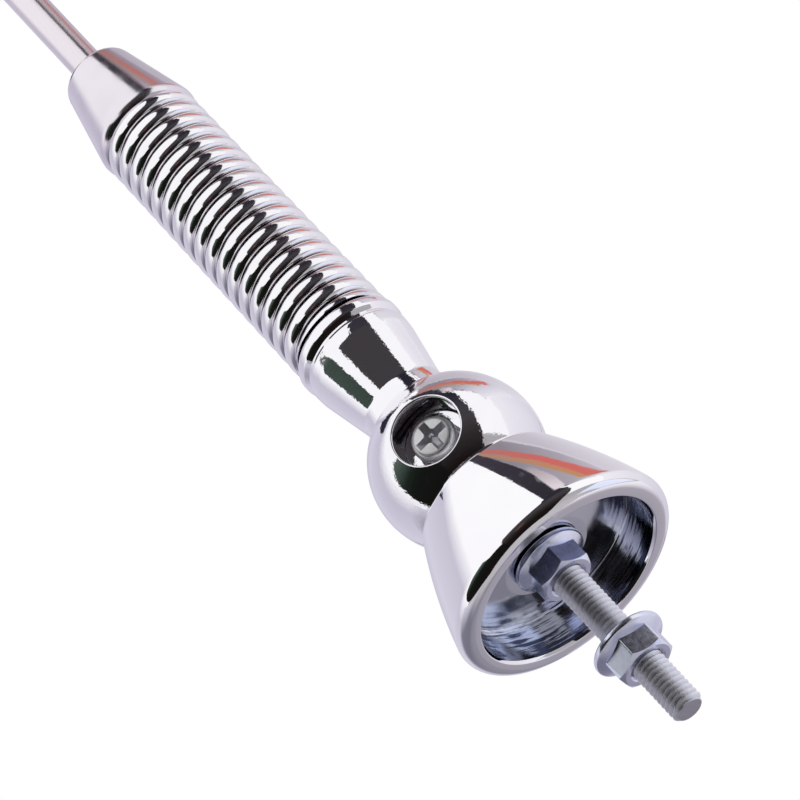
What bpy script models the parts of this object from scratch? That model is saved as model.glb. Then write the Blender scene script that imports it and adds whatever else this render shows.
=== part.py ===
"""Telescopic antenna with a split-ball swivel, a coil spring and a bell base.

The frame: +Z runs up the mast, the origin is the centre of the bell's rim, the
pivot screw lies along Y with its head towards -Y, and the stud points to -Z.
"""

import math

import bmesh
import bpy
from mathutils import Matrix

MM = 0.001

# Clearances
GAP = 0.30 * MM            # between pieces that bolt or rest together
SLIDE_GAP = 0.08 * MM      # on each side of a friction sleeve
FLUSH = 0.10 * MM          # how far a relief cut runs past the face it frees

# Bell base
RIM_R = 21.2 * MM
RIM_EDGE_R = 2.0 * MM      # rounding between the rim face and the outer wall
RIM_SLOPE = math.radians(14.5)
DOME_R = 98.0 * MM         # radius of the outer wall's long curve
DOME_TOP_Z = 21.4 * MM
LIP_ROUND = 0.3 * MM
RECESS_R = 17.3 * MM
RECESS_DEPTH = 7.6 * MM
RECESS_EDGE = 0.5 * MM
FLOOR_R = 16.6 * MM        # the floor's sharp ledge
FLOOR_SEAT_Z = 6.4 * MM    # height of the nut's seat over the rim plane
SEAT_R = 8.2 * MM          # flat land round the shank hole

# Ball swivel
BALL_Z = 31.1 * MM
BALL_R = 15.3 * MM
SPLIT_GAP = 0.30 * MM
LIP_DROP = 8.9 * MM        # how far the bell's lip lies below the ball's centre
SHANK_R = 4.7 * MM
SHANK_BURIED = 11.0 * MM   # distance from the ball's centre to where shank and neck start
COUNTERBORE_R = 6.05 * MM
SCREW_SEAT = 8.3 * MM      # distance from the split plane to the screw's and nut's seats
FRICTION_WASHER_R = 8.6 * MM
FRICTION_WASHER_T = 1.0 * MM

# Pivot screw, M4
SCREW_R = 2.0 * MM
SCREW_LENGTH = 22.0 * MM
SCREW_HEAD_R = 3.85 * MM
SCREW_HEAD_H = 2.1 * MM
CROSS_SPAN = 5.0 * MM
CROSS_WIDTH = 1.2 * MM
CROSS_DEPTH = 1.3 * MM
LOCK_WASHER_R = 3.7 * MM
LOCK_WASHER_T = 0.8 * MM
LOCK_WASHER_SLIT = 0.7 * MM
PIVOT_NUT_FLATS = 7.0 * MM
PIVOT_NUT_H = 3.2 * MM

# Stud and flange nuts, M6
STUD_R = 2.95 * MM
STUD_LENGTH = 45.0 * MM
STUD_BITE = 6.9 * MM        # how far the stud goes into the shank
STUD_CHAMFER = 0.7 * MM
NUT_FLATS = 9.2 * MM
NUT_CHAMFER = 0.8 * MM
NUT_FACE_INSET = 0.2 * MM    # the round end face is smaller than the flats
NUT_H = 5.8 * MM
FLANGE_R = 6.6 * MM
FLANGE_T = 1.1 * MM
MOUNTING_NUT_Z = -14.9 * MM    # top face of the outer nut's flange
BELL_NUT_TURN = math.radians(15.0)
MOUNTING_NUT_TURN = math.radians(-4.5)

# Neck and collar
NECK_FOOT_R = 8.5 * MM
NECK_R = 8.2 * MM
NECK_WAIST_Z = 48.1 * MM
NECK_TOP_R = 10.15 * MM
NECK_TOP_Z = 60.9 * MM
NECK_TAPER_TOP_Z = 58.2 * MM
COLLAR_R = 10.5 * MM
COLLAR_H = 3.4 * MM
COLLAR_BEVEL = 1.6 * MM      # its lower edge slopes in to the groove
COLLAR_GROOVE = 0.35 * MM

# Spring
SPRING_R = 10.25 * MM
SPRING_LENGTH = 62.2 * MM
WIRE_R = 1.65 * MM
COIL_PITCH = 3.63 * MM
COIL_START = math.radians(-169.0)   # where the lower end of the wire begins
GROUND_TIP = 0.5 * WIRE_R  # how far the wire's centre starts outside the ground end
PLUG_LENGTH = 9.0 * MM

# Ferrule
FERRULE_LENGTH = 20.3 * MM
FERRULE_FOOT_R = 10.8 * MM
FERRULE_FOOT_ROUND = 2.0 * MM
FERRULE_TOP_R = 6.9 * MM
FERRULE_TOP_ROUND = 1.9 * MM
SOCKET_DEPTH = 12.5 * MM       # how far the mast sits in the ferrule

# Mast
MAST_R = 3.2 * MM
TUBE_WALL = 0.25 * MM
SLEEVE_T = 0.15 * MM
SLEEVE_LENGTH = 6.0 * MM
OUTER_TUBE_LENGTH = 190.0 * MM
TUBE_STEP_OUT = 4.0 * MM       # how far each section stands out of the one round it
TUBE_COUNT = 4                 # tubes, with one solid rod inside the last
MOUTH_LENGTH = 2.0 * MM
MOUTH_TAPER = 1.5 * MM
FOOT_LENGTH = 0.5 * MM
BEAD_LENGTH = 0.5 * MM
BASE_PLUG_LENGTH = 8.0 * MM
BASE_SHANK_R = 1.9 * MM
BASE_SHANK_LENGTH = 9.0 * MM
KNOB_R = 3.3 * MM
KNOB_LENGTH = 8.0 * MM
KNOB_GRIP = 5.0 * MM           # how far the rod goes into the knob

# Facets round each turned piece
FINE = 36
ROUND = 24
SLIM = 16
COIL_POINTS = 14

# Worked out from the sizes above
SPLIT_HALF = SPLIT_GAP / 2
SOCKET_R = BALL_R + GAP
SHANK_HOLE_R = SHANK_R + GAP
SCREW_HOLE_R = SCREW_R + GAP
SHANK_FOOT_Z = FLOOR_SEAT_Z + GAP
STUD_TOP_Z = SHANK_FOOT_Z + STUD_BITE
STUD_END_Z = STUD_TOP_Z - STUD_LENGTH
COLLAR_TOP_Z = NECK_TOP_Z + COLLAR_GROOVE + COLLAR_H
SPRING_BOTTOM_Z = COLLAR_TOP_Z + GAP
SPRING_TOP_Z = SPRING_BOTTOM_Z + SPRING_LENGTH
PLUG_R = SPRING_R - 2 * WIRE_R - GAP
FERRULE_BOTTOM_Z = SPRING_TOP_Z + GAP
FERRULE_TOP_Z = FERRULE_BOTTOM_Z + FERRULE_LENGTH
TUBE_FOOT_Z = FERRULE_TOP_Z - SOCKET_DEPTH + GAP
SECTION_FOOT_Z = TUBE_FOOT_Z + BASE_PLUG_LENGTH + GAP
SECTION_DROP = TUBE_WALL + SLEEVE_T + 2 * SLIDE_GAP

MATERIALS = {
    "chromed_zinc": ((0.78, 0.77, 0.80), 1.0, 0.06),
    "chromed_steel": ((0.78, 0.77, 0.80), 1.0, 0.08),
    "zinc_plated_steel": ((0.66, 0.68, 0.70), 1.0, 0.30),
    "nickel_plated_brass": ((0.74, 0.71, 0.70), 1.0, 0.12),
    "brass": ((0.70, 0.52, 0.24), 1.0, 0.30),
    "acetal": ((0.80, 0.79, 0.74), 0.0, 0.45),
}


def clear_scene():
    for obj in list(bpy.data.objects):
        bpy.data.objects.remove(obj, do_unlink=True)


def new_collection(name):
    made = bpy.data.collections.new(name)
    bpy.context.scene.collection.children.link(made)
    return made


def material(finish):
    """One Principled material for each finish, made the first time it is asked for."""
    if finish in bpy.data.materials:
        return bpy.data.materials[finish]
    colour, metallic, roughness = MATERIALS[finish]
    made = bpy.data.materials.new(finish)
    made.use_nodes = True
    shader = made.node_tree.nodes["Principled BSDF"]
    shader.inputs["Base Color"].default_value = (*colour, 1.0)
    shader.inputs["Metallic"].default_value = metallic
    shader.inputs["Roughness"].default_value = roughness
    made.diffuse_color = (*colour, 1.0)
    return made


def arc(centre_r, centre_z, radius, start_deg, end_deg, count):
    """Points on an arc of the (r, z) plane, both ends included."""
    points = []
    for i in range(count + 1):
        angle = math.radians(start_deg + (end_deg - start_deg) * i / count)
        points.append((centre_r + radius * math.cos(angle), centre_z + radius * math.sin(angle)))
    return points


def soften(corners, closed=False, count=2):
    """Corners given as (r, z) or (r, z, radius), with each radius turned into a short arc."""
    points = []
    total = len(corners)
    for i, corner in enumerate(corners):
        radius = corner[2] if len(corner) > 2 else 0.0
        inner = closed or 0 < i < total - 1
        if radius <= 0.0 or not inner:
            points.append(corner[:2])
            continue
        here = corner[:2]
        before = corners[i - 1][:2]
        after = corners[(i + 1) % total][:2]
        into = unit(here, before)
        out = unit(here, after)
        half = math.acos(max(-1.0, min(1.0, into[0] * out[0] + into[1] * out[1]))) / 2
        reach = radius / math.tan(half)
        start = (here[0] + into[0] * reach, here[1] + into[1] * reach)
        end = (here[0] + out[0] * reach, here[1] + out[1] * reach)
        middle = unit((0.0, 0.0), (into[0] + out[0], into[1] + out[1]))
        centre = (here[0] + middle[0] * radius / math.sin(half),
                  here[1] + middle[1] * radius / math.sin(half))
        first = math.atan2(start[1] - centre[1], start[0] - centre[0])
        sweep = math.atan2(end[1] - centre[1], end[0] - centre[0]) - first
        sweep = (sweep + math.pi) % (2 * math.pi) - math.pi
        for step in range(count + 1):
            angle = first + sweep * step / count
            points.append((centre[0] + radius * math.cos(angle), centre[1] + radius * math.sin(angle)))
    return points


def unit(start, end):
    length = math.hypot(end[0] - start[0], end[1] - start[1])
    return ((end[0] - start[0]) / length, (end[1] - start[1]) / length)


def add_object(name, mesh, place, finish=None):
    obj = bpy.data.objects.new(name, mesh)
    place.objects.link(obj)
    if finish:
        mesh.materials.append(material(finish))
    return obj


def turned(name, profile, place, finish=None, closed=False, steps=FINE):
    """A lathe shape round Z: the profile runs down its outer side, and Screw turns it."""
    mesh = bpy.data.meshes.new(name)
    edges = [(i, i + 1) for i in range(len(profile) - 1)]
    if closed:
        edges.append((len(profile) - 1, 0))
    mesh.from_pydata([(r, 0.0, z) for r, z in profile], edges, [])
    obj = add_object(name, mesh, place, finish)
    screw = obj.modifiers.new("Turn", "SCREW")
    screw.steps = steps
    screw.render_steps = steps
    screw.use_merge_vertices = True
    screw.merge_threshold = 0.00001
    screw.use_smooth_shade = True
    return obj


def hex_prism(name, flats, bottom, top, place):
    """A hexagonal bar along Z, measured across its flats."""
    mesh = bpy.data.meshes.new(name)
    shape = bmesh.new()
    radius = flats / math.sqrt(3)
    bmesh.ops.create_cone(shape, cap_ends=True, segments=6, radius1=radius, radius2=radius,
                          depth=top - bottom, matrix=Matrix.Translation((0, 0, (top + bottom) / 2)))
    shape.to_mesh(mesh)
    shape.free()
    return add_object(name, mesh, place)


def block(name, size, centre, place):
    mesh = bpy.data.meshes.new(name)
    shape = bmesh.new()
    bmesh.ops.create_cube(shape, size=1.0, matrix=Matrix.Translation(centre) @ Matrix.Diagonal((*size, 1)))
    shape.to_mesh(mesh)
    shape.free()
    return add_object(name, mesh, place)


def combine(obj, other, how):
    """An EXACT Boolean with another object, which then counts as a cutter."""
    step = obj.modifiers.new(how.title(), "BOOLEAN")
    step.operation = how
    step.solver = "EXACT"
    step.object = other
    other.hide_render = True
    other.display_type = "WIRE"


def face_front(obj):
    """Lays a turned piece along the pivot axis, with its top towards -Y."""
    obj.location = (0, 0, BALL_Z)
    obj.rotation_euler = (math.pi / 2, 0, 0)


def face_back(obj):
    """Lays a turned piece along the pivot axis, with its top towards +Y."""
    obj.location = (0, 0, BALL_Z)
    obj.rotation_euler = (-math.pi / 2, 0, 0)


def sphere_height(radius, at):
    return math.sqrt(radius * radius - at * at)


def dome_profile():
    """The bell's outer wall: one long arc that starts at the rim with its set slope."""
    start_r = RIM_R - RIM_EDGE_R * (1 - math.cos(RIM_SLOPE))
    start_z = RIM_EDGE_R * (1 + math.sin(RIM_SLOPE))
    centre_r = start_r - DOME_R * math.cos(RIM_SLOPE)
    centre_z = start_z - DOME_R * math.sin(RIM_SLOPE)
    top = math.degrees(math.asin((DOME_TOP_Z - centre_z) / DOME_R))
    return arc(centre_r, centre_z, DOME_R, top, math.degrees(RIM_SLOPE), 6)


def rim_profile():
    return arc(RIM_R - RIM_EDGE_R, RIM_EDGE_R, RIM_EDGE_R, math.degrees(RIM_SLOPE), -90, 4)[1:]


def socket_profile():
    """The spherical seat for the ball, from the shank hole out to the lip."""
    lip = -math.degrees(math.asin(LIP_DROP / SOCKET_R))
    hole = -math.degrees(math.acos(SHANK_HOLE_R / SOCKET_R))
    return arc(0, BALL_Z, SOCKET_R, hole, lip, 5)


def make_bell(place):
    dome = dome_profile()
    socket = socket_profile()
    lip_r, lip_z = socket[-1]
    floor_rise = RECESS_DEPTH - FLOOR_SEAT_Z
    lip = soften([socket[-1], (lip_r + LIP_ROUND, lip_z, LIP_ROUND * 0.5), dome[0]])[1:-1]
    profile = lip + dome + rim_profile() + [
        (RECESS_R + RECESS_EDGE, 0.0),
        (RECESS_R, RECESS_EDGE),
        (RECESS_R, RECESS_DEPTH),
        (FLOOR_R, RECESS_DEPTH),
        ((FLOOR_R + SEAT_R) / 2, FLOOR_SEAT_Z + floor_rise * 0.35),
        (SEAT_R, FLOOR_SEAT_Z),
        (SHANK_HOLE_R, FLOOR_SEAT_Z),
    ] + socket
    return turned("bell", profile, place, "chromed_zinc", closed=True)


def half_ball_profile(well_r, bore_r, inside):
    """Half of the ball, top outward: a screw well in its crown and a bore through it."""
    crown = math.degrees(math.acos(well_r / BALL_R))
    edge = math.degrees(math.asin(SPLIT_HALF / BALL_R))
    return arc(0, 0, BALL_R, crown, edge, 10) + inside + [
        (bore_r, SCREW_SEAT),
        (well_r, SCREW_SEAT),
    ]


def relief_sphere(name, place):
    """A half sphere, one gap larger than the ball, that frees the other half's side."""
    return turned(name, arc(0, 0, SOCKET_R, 90, 0, 12) + [
        (SOCKET_R, -SPLIT_HALF - FLUSH), (0, -SPLIT_HALF - FLUSH)], place, steps=FINE)


def neck_profile():
    groove_r = NECK_TOP_R - COLLAR_GROOVE
    buried_z = BALL_Z + SHANK_BURIED
    return soften([
        (0, COLLAR_TOP_Z + PLUG_LENGTH),
        (PLUG_R, COLLAR_TOP_Z + PLUG_LENGTH, 0.8 * MM),
        (PLUG_R, COLLAR_TOP_Z),
        (COLLAR_R, COLLAR_TOP_Z, 0.6 * MM),
        (COLLAR_R, COLLAR_TOP_Z - COLLAR_H + COLLAR_BEVEL, 1.2 * MM),
        (groove_r, COLLAR_TOP_Z - COLLAR_H),
        (groove_r, NECK_TOP_Z),
        (NECK_TOP_R, NECK_TAPER_TOP_Z, 2.0 * MM),
        (NECK_R, NECK_WAIST_Z, 3.0 * MM),
        (NECK_FOOT_R, BALL_Z + sphere_height(BALL_R, NECK_FOOT_R)),
        (NECK_FOOT_R, buried_z),
        (0, buried_z),
    ])


def make_upper_knuckle(place, cutters):
    front = turned("upper_knuckle", half_ball_profile(COUNTERBORE_R, SCREW_HOLE_R, [
        (SCREW_HOLE_R, SPLIT_HALF)]), place, "chromed_zinc", closed=True)
    face_front(front)
    neck = turned("neck_blank", neck_profile(), cutters, steps=ROUND)
    relief = relief_sphere("neck_relief", cutters)
    face_back(relief)
    combine(neck, relief, "DIFFERENCE")
    combine(front, neck, "UNION")
    return front


def make_lower_knuckle(place, cutters):
    washer_seat = SPLIT_HALF + FRICTION_WASHER_T + GAP
    washer_well = FRICTION_WASHER_R + GAP
    rear = turned("lower_knuckle", half_ball_profile(SCREW_HOLE_R * 1.5, SCREW_HOLE_R, [
        (washer_well, SPLIT_HALF),
        (washer_well, washer_seat),
        (SCREW_HOLE_R, washer_seat)]), place, "chromed_zinc", closed=True)
    face_back(rear)

    pocket = hex_prism("nut_pocket", PIVOT_NUT_FLATS + 2 * GAP, SCREW_SEAT, BALL_R + GAP, cutters)
    face_back(pocket)
    combine(rear, pocket, "DIFFERENCE")

    top_z = BALL_Z - SHANK_BURIED
    bore_r = STUD_R + GAP
    bore_top_z = STUD_TOP_Z + GAP
    shank = turned("shank_blank", [
        (0, top_z), (SHANK_R, top_z), (SHANK_R, SHANK_FOOT_Z), (bore_r, SHANK_FOOT_Z),
        (bore_r, bore_top_z), (0, bore_top_z)], cutters, steps=ROUND)
    relief = relief_sphere("shank_relief", cutters)
    face_front(relief)
    combine(shank, relief, "DIFFERENCE")
    combine(rear, shank, "UNION")
    return rear


def make_pivot(place, cutters):
    """Screw, lock washer and nut along the pivot axis, and the friction washer in the split."""
    washer_bottom = SCREW_SEAT + GAP
    head_bottom = washer_bottom + LOCK_WASHER_T + GAP
    head_top = head_bottom + SCREW_HEAD_H
    tip = head_bottom - SCREW_LENGTH
    screw = turned("pivot_screw", soften([
        (0, head_top), (SCREW_HEAD_R, head_top, 1.3 * MM), (SCREW_HEAD_R, head_bottom),
        (SCREW_R, head_bottom), (SCREW_R, tip, 0.3 * MM), (0, tip)]),
        place, "zinc_plated_steel", steps=SLIM)
    face_front(screw)
    for turn in (0, 1):
        size = (CROSS_SPAN, CROSS_WIDTH, CROSS_DEPTH * 2)
        arm = block(f"cross_arm_{turn + 1}", size, (0, 0, 0), cutters)
        arm.location = (0, -head_top, BALL_Z)
        arm.rotation_euler = (math.pi / 2, turn * math.pi / 2, 0)
        combine(screw, arm, "DIFFERENCE")

    washer = turned("pivot_lock_washer", [
        (LOCK_WASHER_R, washer_bottom + LOCK_WASHER_T), (LOCK_WASHER_R, washer_bottom),
        (SCREW_HOLE_R, washer_bottom), (SCREW_HOLE_R, washer_bottom + LOCK_WASHER_T)],
        place, "zinc_plated_steel", closed=True, steps=SLIM)
    face_front(washer)
    slit = block("washer_slit", (LOCK_WASHER_R * 1.5, LOCK_WASHER_SLIT, LOCK_WASHER_T * 4),
                 (LOCK_WASHER_R, 0, 0), cutters)
    slit.location = (0, -washer_bottom - LOCK_WASHER_T / 2, BALL_Z)
    slit.rotation_euler = (math.pi / 2 + math.radians(15), 0, 0)
    combine(washer, slit, "DIFFERENCE")

    nut_bottom = SCREW_SEAT + GAP
    nut = hex_nut("pivot_nut", PIVOT_NUT_FLATS, nut_bottom, nut_bottom + PIVOT_NUT_H,
                  SCREW_HOLE_R, place, cutters)
    face_back(nut)

    friction = turned("friction_washer", [
        (FRICTION_WASHER_R, SPLIT_HALF + FRICTION_WASHER_T), (FRICTION_WASHER_R, SPLIT_HALF),
        (SCREW_HOLE_R, SPLIT_HALF), (SCREW_HOLE_R, SPLIT_HALF + FRICTION_WASHER_T)],
        place, "acetal", closed=True, steps=ROUND)
    face_back(friction)


def hex_nut(name, flats, bottom, top, bore_r, place, cutters):
    """A hexagon with chamfered corners at both ends and a bore."""
    corner = flats / math.sqrt(3)
    chamfer = (corner - flats / 2) * 0.6
    nut = turned(name, [
        (flats / 2, top), (corner + chamfer, top - chamfer * 1.4),
        (corner + chamfer, bottom + chamfer * 1.4), (flats / 2, bottom),
        (bore_r, bottom), (bore_r, top)], place, "zinc_plated_steel", closed=True, steps=ROUND)
    prism = hex_prism(f"{name}_hexagon", flats, bottom - GAP, top + GAP, cutters)
    copy_pose(prism, nut)
    combine(nut, prism, "INTERSECT")
    return nut


def copy_pose(follower, leader):
    """Parents a cutter to the piece that it shapes, so that both move together."""
    follower.parent = leader


def make_flange_nut(name, top_z, turn, place, cutters):
    """A hexagon standing on a coned flange, whose flat side is up."""
    corner = NUT_FLATS / math.sqrt(3)
    face_r = NUT_FLATS / 2 - NUT_FACE_INSET
    bottom_z = top_z - NUT_H
    bore_r = STUD_R + GAP
    cone_z = top_z - FLANGE_T - (FLANGE_R - NUT_FLATS / 2) * 0.45
    hexagon = turned(f"{name}_barrel", [
        (corner * 1.05, top_z - FLANGE_T * 0.5), (corner * 1.05, bottom_z + NUT_CHAMFER),
        (face_r, bottom_z), (bore_r, bottom_z),
        (bore_r, top_z - FLANGE_T * 0.5)], cutters, closed=True, steps=ROUND)
    prism = hex_prism(f"{name}_hexagon", NUT_FLATS, bottom_z - GAP, top_z - FLANGE_T * 0.4, cutters)
    prism.rotation_euler = (0, 0, turn)
    combine(hexagon, prism, "INTERSECT")
    nut = turned(name, soften([
        (bore_r, top_z), (FLANGE_R, top_z, FLANGE_T * 0.45), (FLANGE_R, top_z - FLANGE_T, FLANGE_T * 0.45),
        (NUT_FLATS / 2 - 0.4 * MM, cone_z), (bore_r, cone_z)], closed=True),
        place, "zinc_plated_steel", closed=True, steps=ROUND)
    combine(nut, hexagon, "UNION")
    return nut


def make_stud(place):
    turned("mounting_stud", [
        (0, STUD_TOP_Z), (STUD_R - STUD_CHAMFER, STUD_TOP_Z), (STUD_R, STUD_TOP_Z - STUD_CHAMFER),
        (STUD_R, STUD_END_Z + STUD_CHAMFER), (STUD_R - STUD_CHAMFER, STUD_END_Z), (0, STUD_END_Z)],
        place, "zinc_plated_steel", steps=SLIM)


def make_spring(place, cutters):
    """A right-hand, close-wound coil of round wire, with both ends ground flat."""
    first_z = SPRING_BOTTOM_Z - GROUND_TIP
    turns = (SPRING_LENGTH + 2 * GROUND_TIP) / COIL_PITCH
    count = round(turns * COIL_POINTS)
    curve = bpy.data.curves.new("coil_spring", "CURVE")
    curve.dimensions = "3D"
    curve.bevel_depth = WIRE_R
    curve.bevel_resolution = 2
    curve.use_fill_caps = True
    curve.twist_mode = "Z_UP"
    spline = curve.splines.new("POLY")
    spline.points.add(count)
    for i in range(count + 1):
        angle = COIL_START + 2 * math.pi * turns * i / count
        spline.points[i].co = ((SPRING_R - WIRE_R) * math.cos(angle), (SPRING_R - WIRE_R) * math.sin(angle),
                               first_z + COIL_PITCH * turns * i / count, 1.0)
    spring = as_mesh(bpy.data.objects.new("coil_wire", curve), "coil_spring", place)
    spring.data.materials.append(material("chromed_steel"))
    middle_z = (SPRING_BOTTOM_Z + SPRING_TOP_Z) / 2
    grinding = block("grinding_limits", (SPRING_R * 3, SPRING_R * 3, SPRING_LENGTH), (0, 0, middle_z), cutters)
    combine(spring, grinding, "INTERSECT")


def as_mesh(curve_object, name, place):
    """The curve's evaluated mesh, with its loose end caps welded on."""
    bpy.context.scene.collection.objects.link(curve_object)
    graph = bpy.context.evaluated_depsgraph_get()
    mesh = bpy.data.meshes.new_from_object(curve_object.evaluated_get(graph))
    bpy.data.objects.remove(curve_object, do_unlink=True)
    shape = bmesh.new()
    shape.from_mesh(mesh)
    bmesh.ops.remove_doubles(shape, verts=shape.verts, dist=0.001 * MM)
    shape.to_mesh(mesh)
    shape.free()
    mesh.name = name
    return add_object(name, mesh, place)


def make_ferrule(place):
    seat_z = FERRULE_TOP_Z - SOCKET_DEPTH
    shank_hole_r = BASE_SHANK_R + GAP
    shank_hole_z = TUBE_FOOT_Z - BASE_SHANK_LENGTH - GAP
    plug_end_z = FERRULE_BOTTOM_Z - PLUG_LENGTH
    turned("ferrule", soften([
        (0, shank_hole_z),
        (shank_hole_r, shank_hole_z),
        (shank_hole_r, seat_z),
        (MAST_R + SLIDE_GAP, seat_z),
        (MAST_R + SLIDE_GAP, FERRULE_TOP_Z),
        (FERRULE_TOP_R, FERRULE_TOP_Z, FERRULE_TOP_ROUND),
        (FERRULE_FOOT_R, FERRULE_BOTTOM_Z, FERRULE_FOOT_ROUND),
        (PLUG_R, FERRULE_BOTTOM_Z),
        (PLUG_R, plug_end_z, 0.8 * MM),
        (0, plug_end_z),
    ]), place, "chromed_zinc")


def make_base_plug(place):
    """Turned plug: a head inside the outer tube's foot and a shank in the ferrule."""
    head_r = MAST_R - TUBE_WALL - SLIDE_GAP
    turned("mast_base_plug", [
        (0, TUBE_FOOT_Z + BASE_PLUG_LENGTH), (head_r, TUBE_FOOT_Z + BASE_PLUG_LENGTH),
        (head_r, TUBE_FOOT_Z), (BASE_SHANK_R, TUBE_FOOT_Z),
        (BASE_SHANK_R, TUBE_FOOT_Z - BASE_SHANK_LENGTH), (0, TUBE_FOOT_Z - BASE_SHANK_LENGTH)],
        place, "brass", steps=SLIM)


def section_radius(index):
    """Outer radius of a mast section: 0 is the outer tube, TUBE_COUNT the rod."""
    return MAST_R - index * SECTION_DROP


def section_top(index):
    return TUBE_FOOT_Z + OUTER_TUBE_LENGTH + index * TUBE_STEP_OUT


def mouth_profile(index):
    """The rolled-in mouth of a tube, which stops the next section's bead."""
    top_z = section_top(index)
    outer_r = section_radius(index)
    mouth_r = section_radius(index + 1) + SLIDE_GAP
    outside = [
        (mouth_r + TUBE_WALL, top_z),
        (mouth_r + TUBE_WALL, top_z - MOUTH_LENGTH),
        (outer_r, top_z - MOUTH_LENGTH - MOUTH_TAPER),
    ]
    inside = [
        (outer_r - TUBE_WALL, top_z - MOUTH_LENGTH - MOUTH_TAPER),
        (mouth_r, top_z - MOUTH_LENGTH),
        (mouth_r, top_z),
    ]
    return outside, inside


def foot_profile(index):
    """A flared foot and a rolled bead, with the friction sleeve held between them."""
    outer_r = section_radius(index)
    swell = SLEEVE_T + SLIDE_GAP / 2
    foot_top = SECTION_FOOT_Z + FOOT_LENGTH
    bead_bottom = foot_top + SLEEVE_LENGTH + 2 * SLIDE_GAP
    bead_top = bead_bottom + BEAD_LENGTH
    return [
        (outer_r, bead_top), (outer_r + swell, bead_top - BEAD_LENGTH / 3),
        (outer_r + swell, bead_bottom), (outer_r, bead_bottom),
        (outer_r, foot_top), (outer_r + swell, foot_top), (outer_r + swell, SECTION_FOOT_Z),
    ]


def make_mast(place):
    outside, inside = mouth_profile(0)
    turned("mast_tube_1", outside + [
        (MAST_R, TUBE_FOOT_Z), (MAST_R - TUBE_WALL, TUBE_FOOT_Z)] + inside,
        place, "nickel_plated_brass", closed=True, steps=SLIM)

    for index in range(1, TUBE_COUNT):
        outside, inside = mouth_profile(index)
        turned(f"mast_tube_{index + 1}", outside + foot_profile(index) + [
            (section_radius(index) - TUBE_WALL, SECTION_FOOT_Z)] + inside,
            place, "nickel_plated_brass", closed=True, steps=SLIM)

    rod_top = section_top(TUBE_COUNT - 1) + GAP + KNOB_GRIP
    turned("mast_tip_rod", [
        (0, rod_top), (section_radius(TUBE_COUNT), rod_top)] + foot_profile(TUBE_COUNT) + [
        (0, SECTION_FOOT_Z)], place, "nickel_plated_brass", steps=SLIM)

    for index in range(1, TUBE_COUNT + 1):
        bottom = SECTION_FOOT_Z + FOOT_LENGTH + SLIDE_GAP
        inner_r = section_radius(index) + SLIDE_GAP
        turned(f"friction_sleeve_{index + 1}", [
            (inner_r + SLEEVE_T, bottom + SLEEVE_LENGTH), (inner_r + SLEEVE_T, bottom),
            (inner_r, bottom), (inner_r, bottom + SLEEVE_LENGTH)],
            place, "brass", closed=True, steps=SLIM)


def make_tip_knob(place):
    bottom = section_top(TUBE_COUNT - 1) + GAP
    hole_r = section_radius(TUBE_COUNT) + SLIDE_GAP
    hole_top = bottom + KNOB_GRIP + SLIDE_GAP
    turned("tip_knob", soften([
        (0, bottom + KNOB_LENGTH), (KNOB_R, bottom + KNOB_LENGTH, 2.2 * MM), (KNOB_R, bottom, 0.6 * MM),
        (hole_r, bottom), (hole_r, hole_top), (0, hole_top)]),
        place, "chromed_zinc", steps=SLIM)


def settle(obj):
    """Keeps the evaluated mesh, smooth on curves and crisp at edges."""
    graph = bpy.context.evaluated_depsgraph_get()
    mesh = bpy.data.meshes.new_from_object(obj.evaluated_get(graph))
    mesh.shade_smooth()
    mesh.set_sharp_from_angle(angle=math.radians(35))
    obj.modifiers.clear()
    obj.data = mesh


def main():
    clear_scene()
    antenna = new_collection("telescopic_antenna")
    cutters = new_collection("cutters")
    make_bell(antenna)
    make_upper_knuckle(antenna, cutters)
    make_lower_knuckle(antenna, cutters)
    make_pivot(antenna, cutters)
    make_stud(antenna)
    make_flange_nut("bell_nut", FLOOR_SEAT_Z - GAP, BELL_NUT_TURN, antenna, cutters)
    make_flange_nut("mounting_nut", MOUNTING_NUT_Z, MOUNTING_NUT_TURN, antenna, cutters)
    make_spring(antenna, cutters)
    make_ferrule(antenna)
    make_base_plug(antenna)
    make_mast(antenna)
    make_tip_knob(antenna)
    bpy.context.view_layer.update()
    for obj in [o for o in antenna.objects if o.type == "MESH"]:
        settle(obj)


main()
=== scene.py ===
# %% [markdown]
# # A telescopic antenna in chrome, nickel and zinc
#
# The real object is the lower end of a vehicle antenna: a chromed bell on a threaded stud, a ball
# swivel, a close-wound spring, a ferrule and a sliding mast. Almost all of it is plated metal, so
# the lesson is mostly about two things: surfaces that are smooth enough to mirror a room, and a
# room that is worth mirroring. We begin with the imported model, because every piece we make has to
# sit on it. The box is measured at the end.

# %% Load the frame, and the tools that measure it
import math

import bmesh
import bpy
from mathutils import Matrix, Vector


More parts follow.
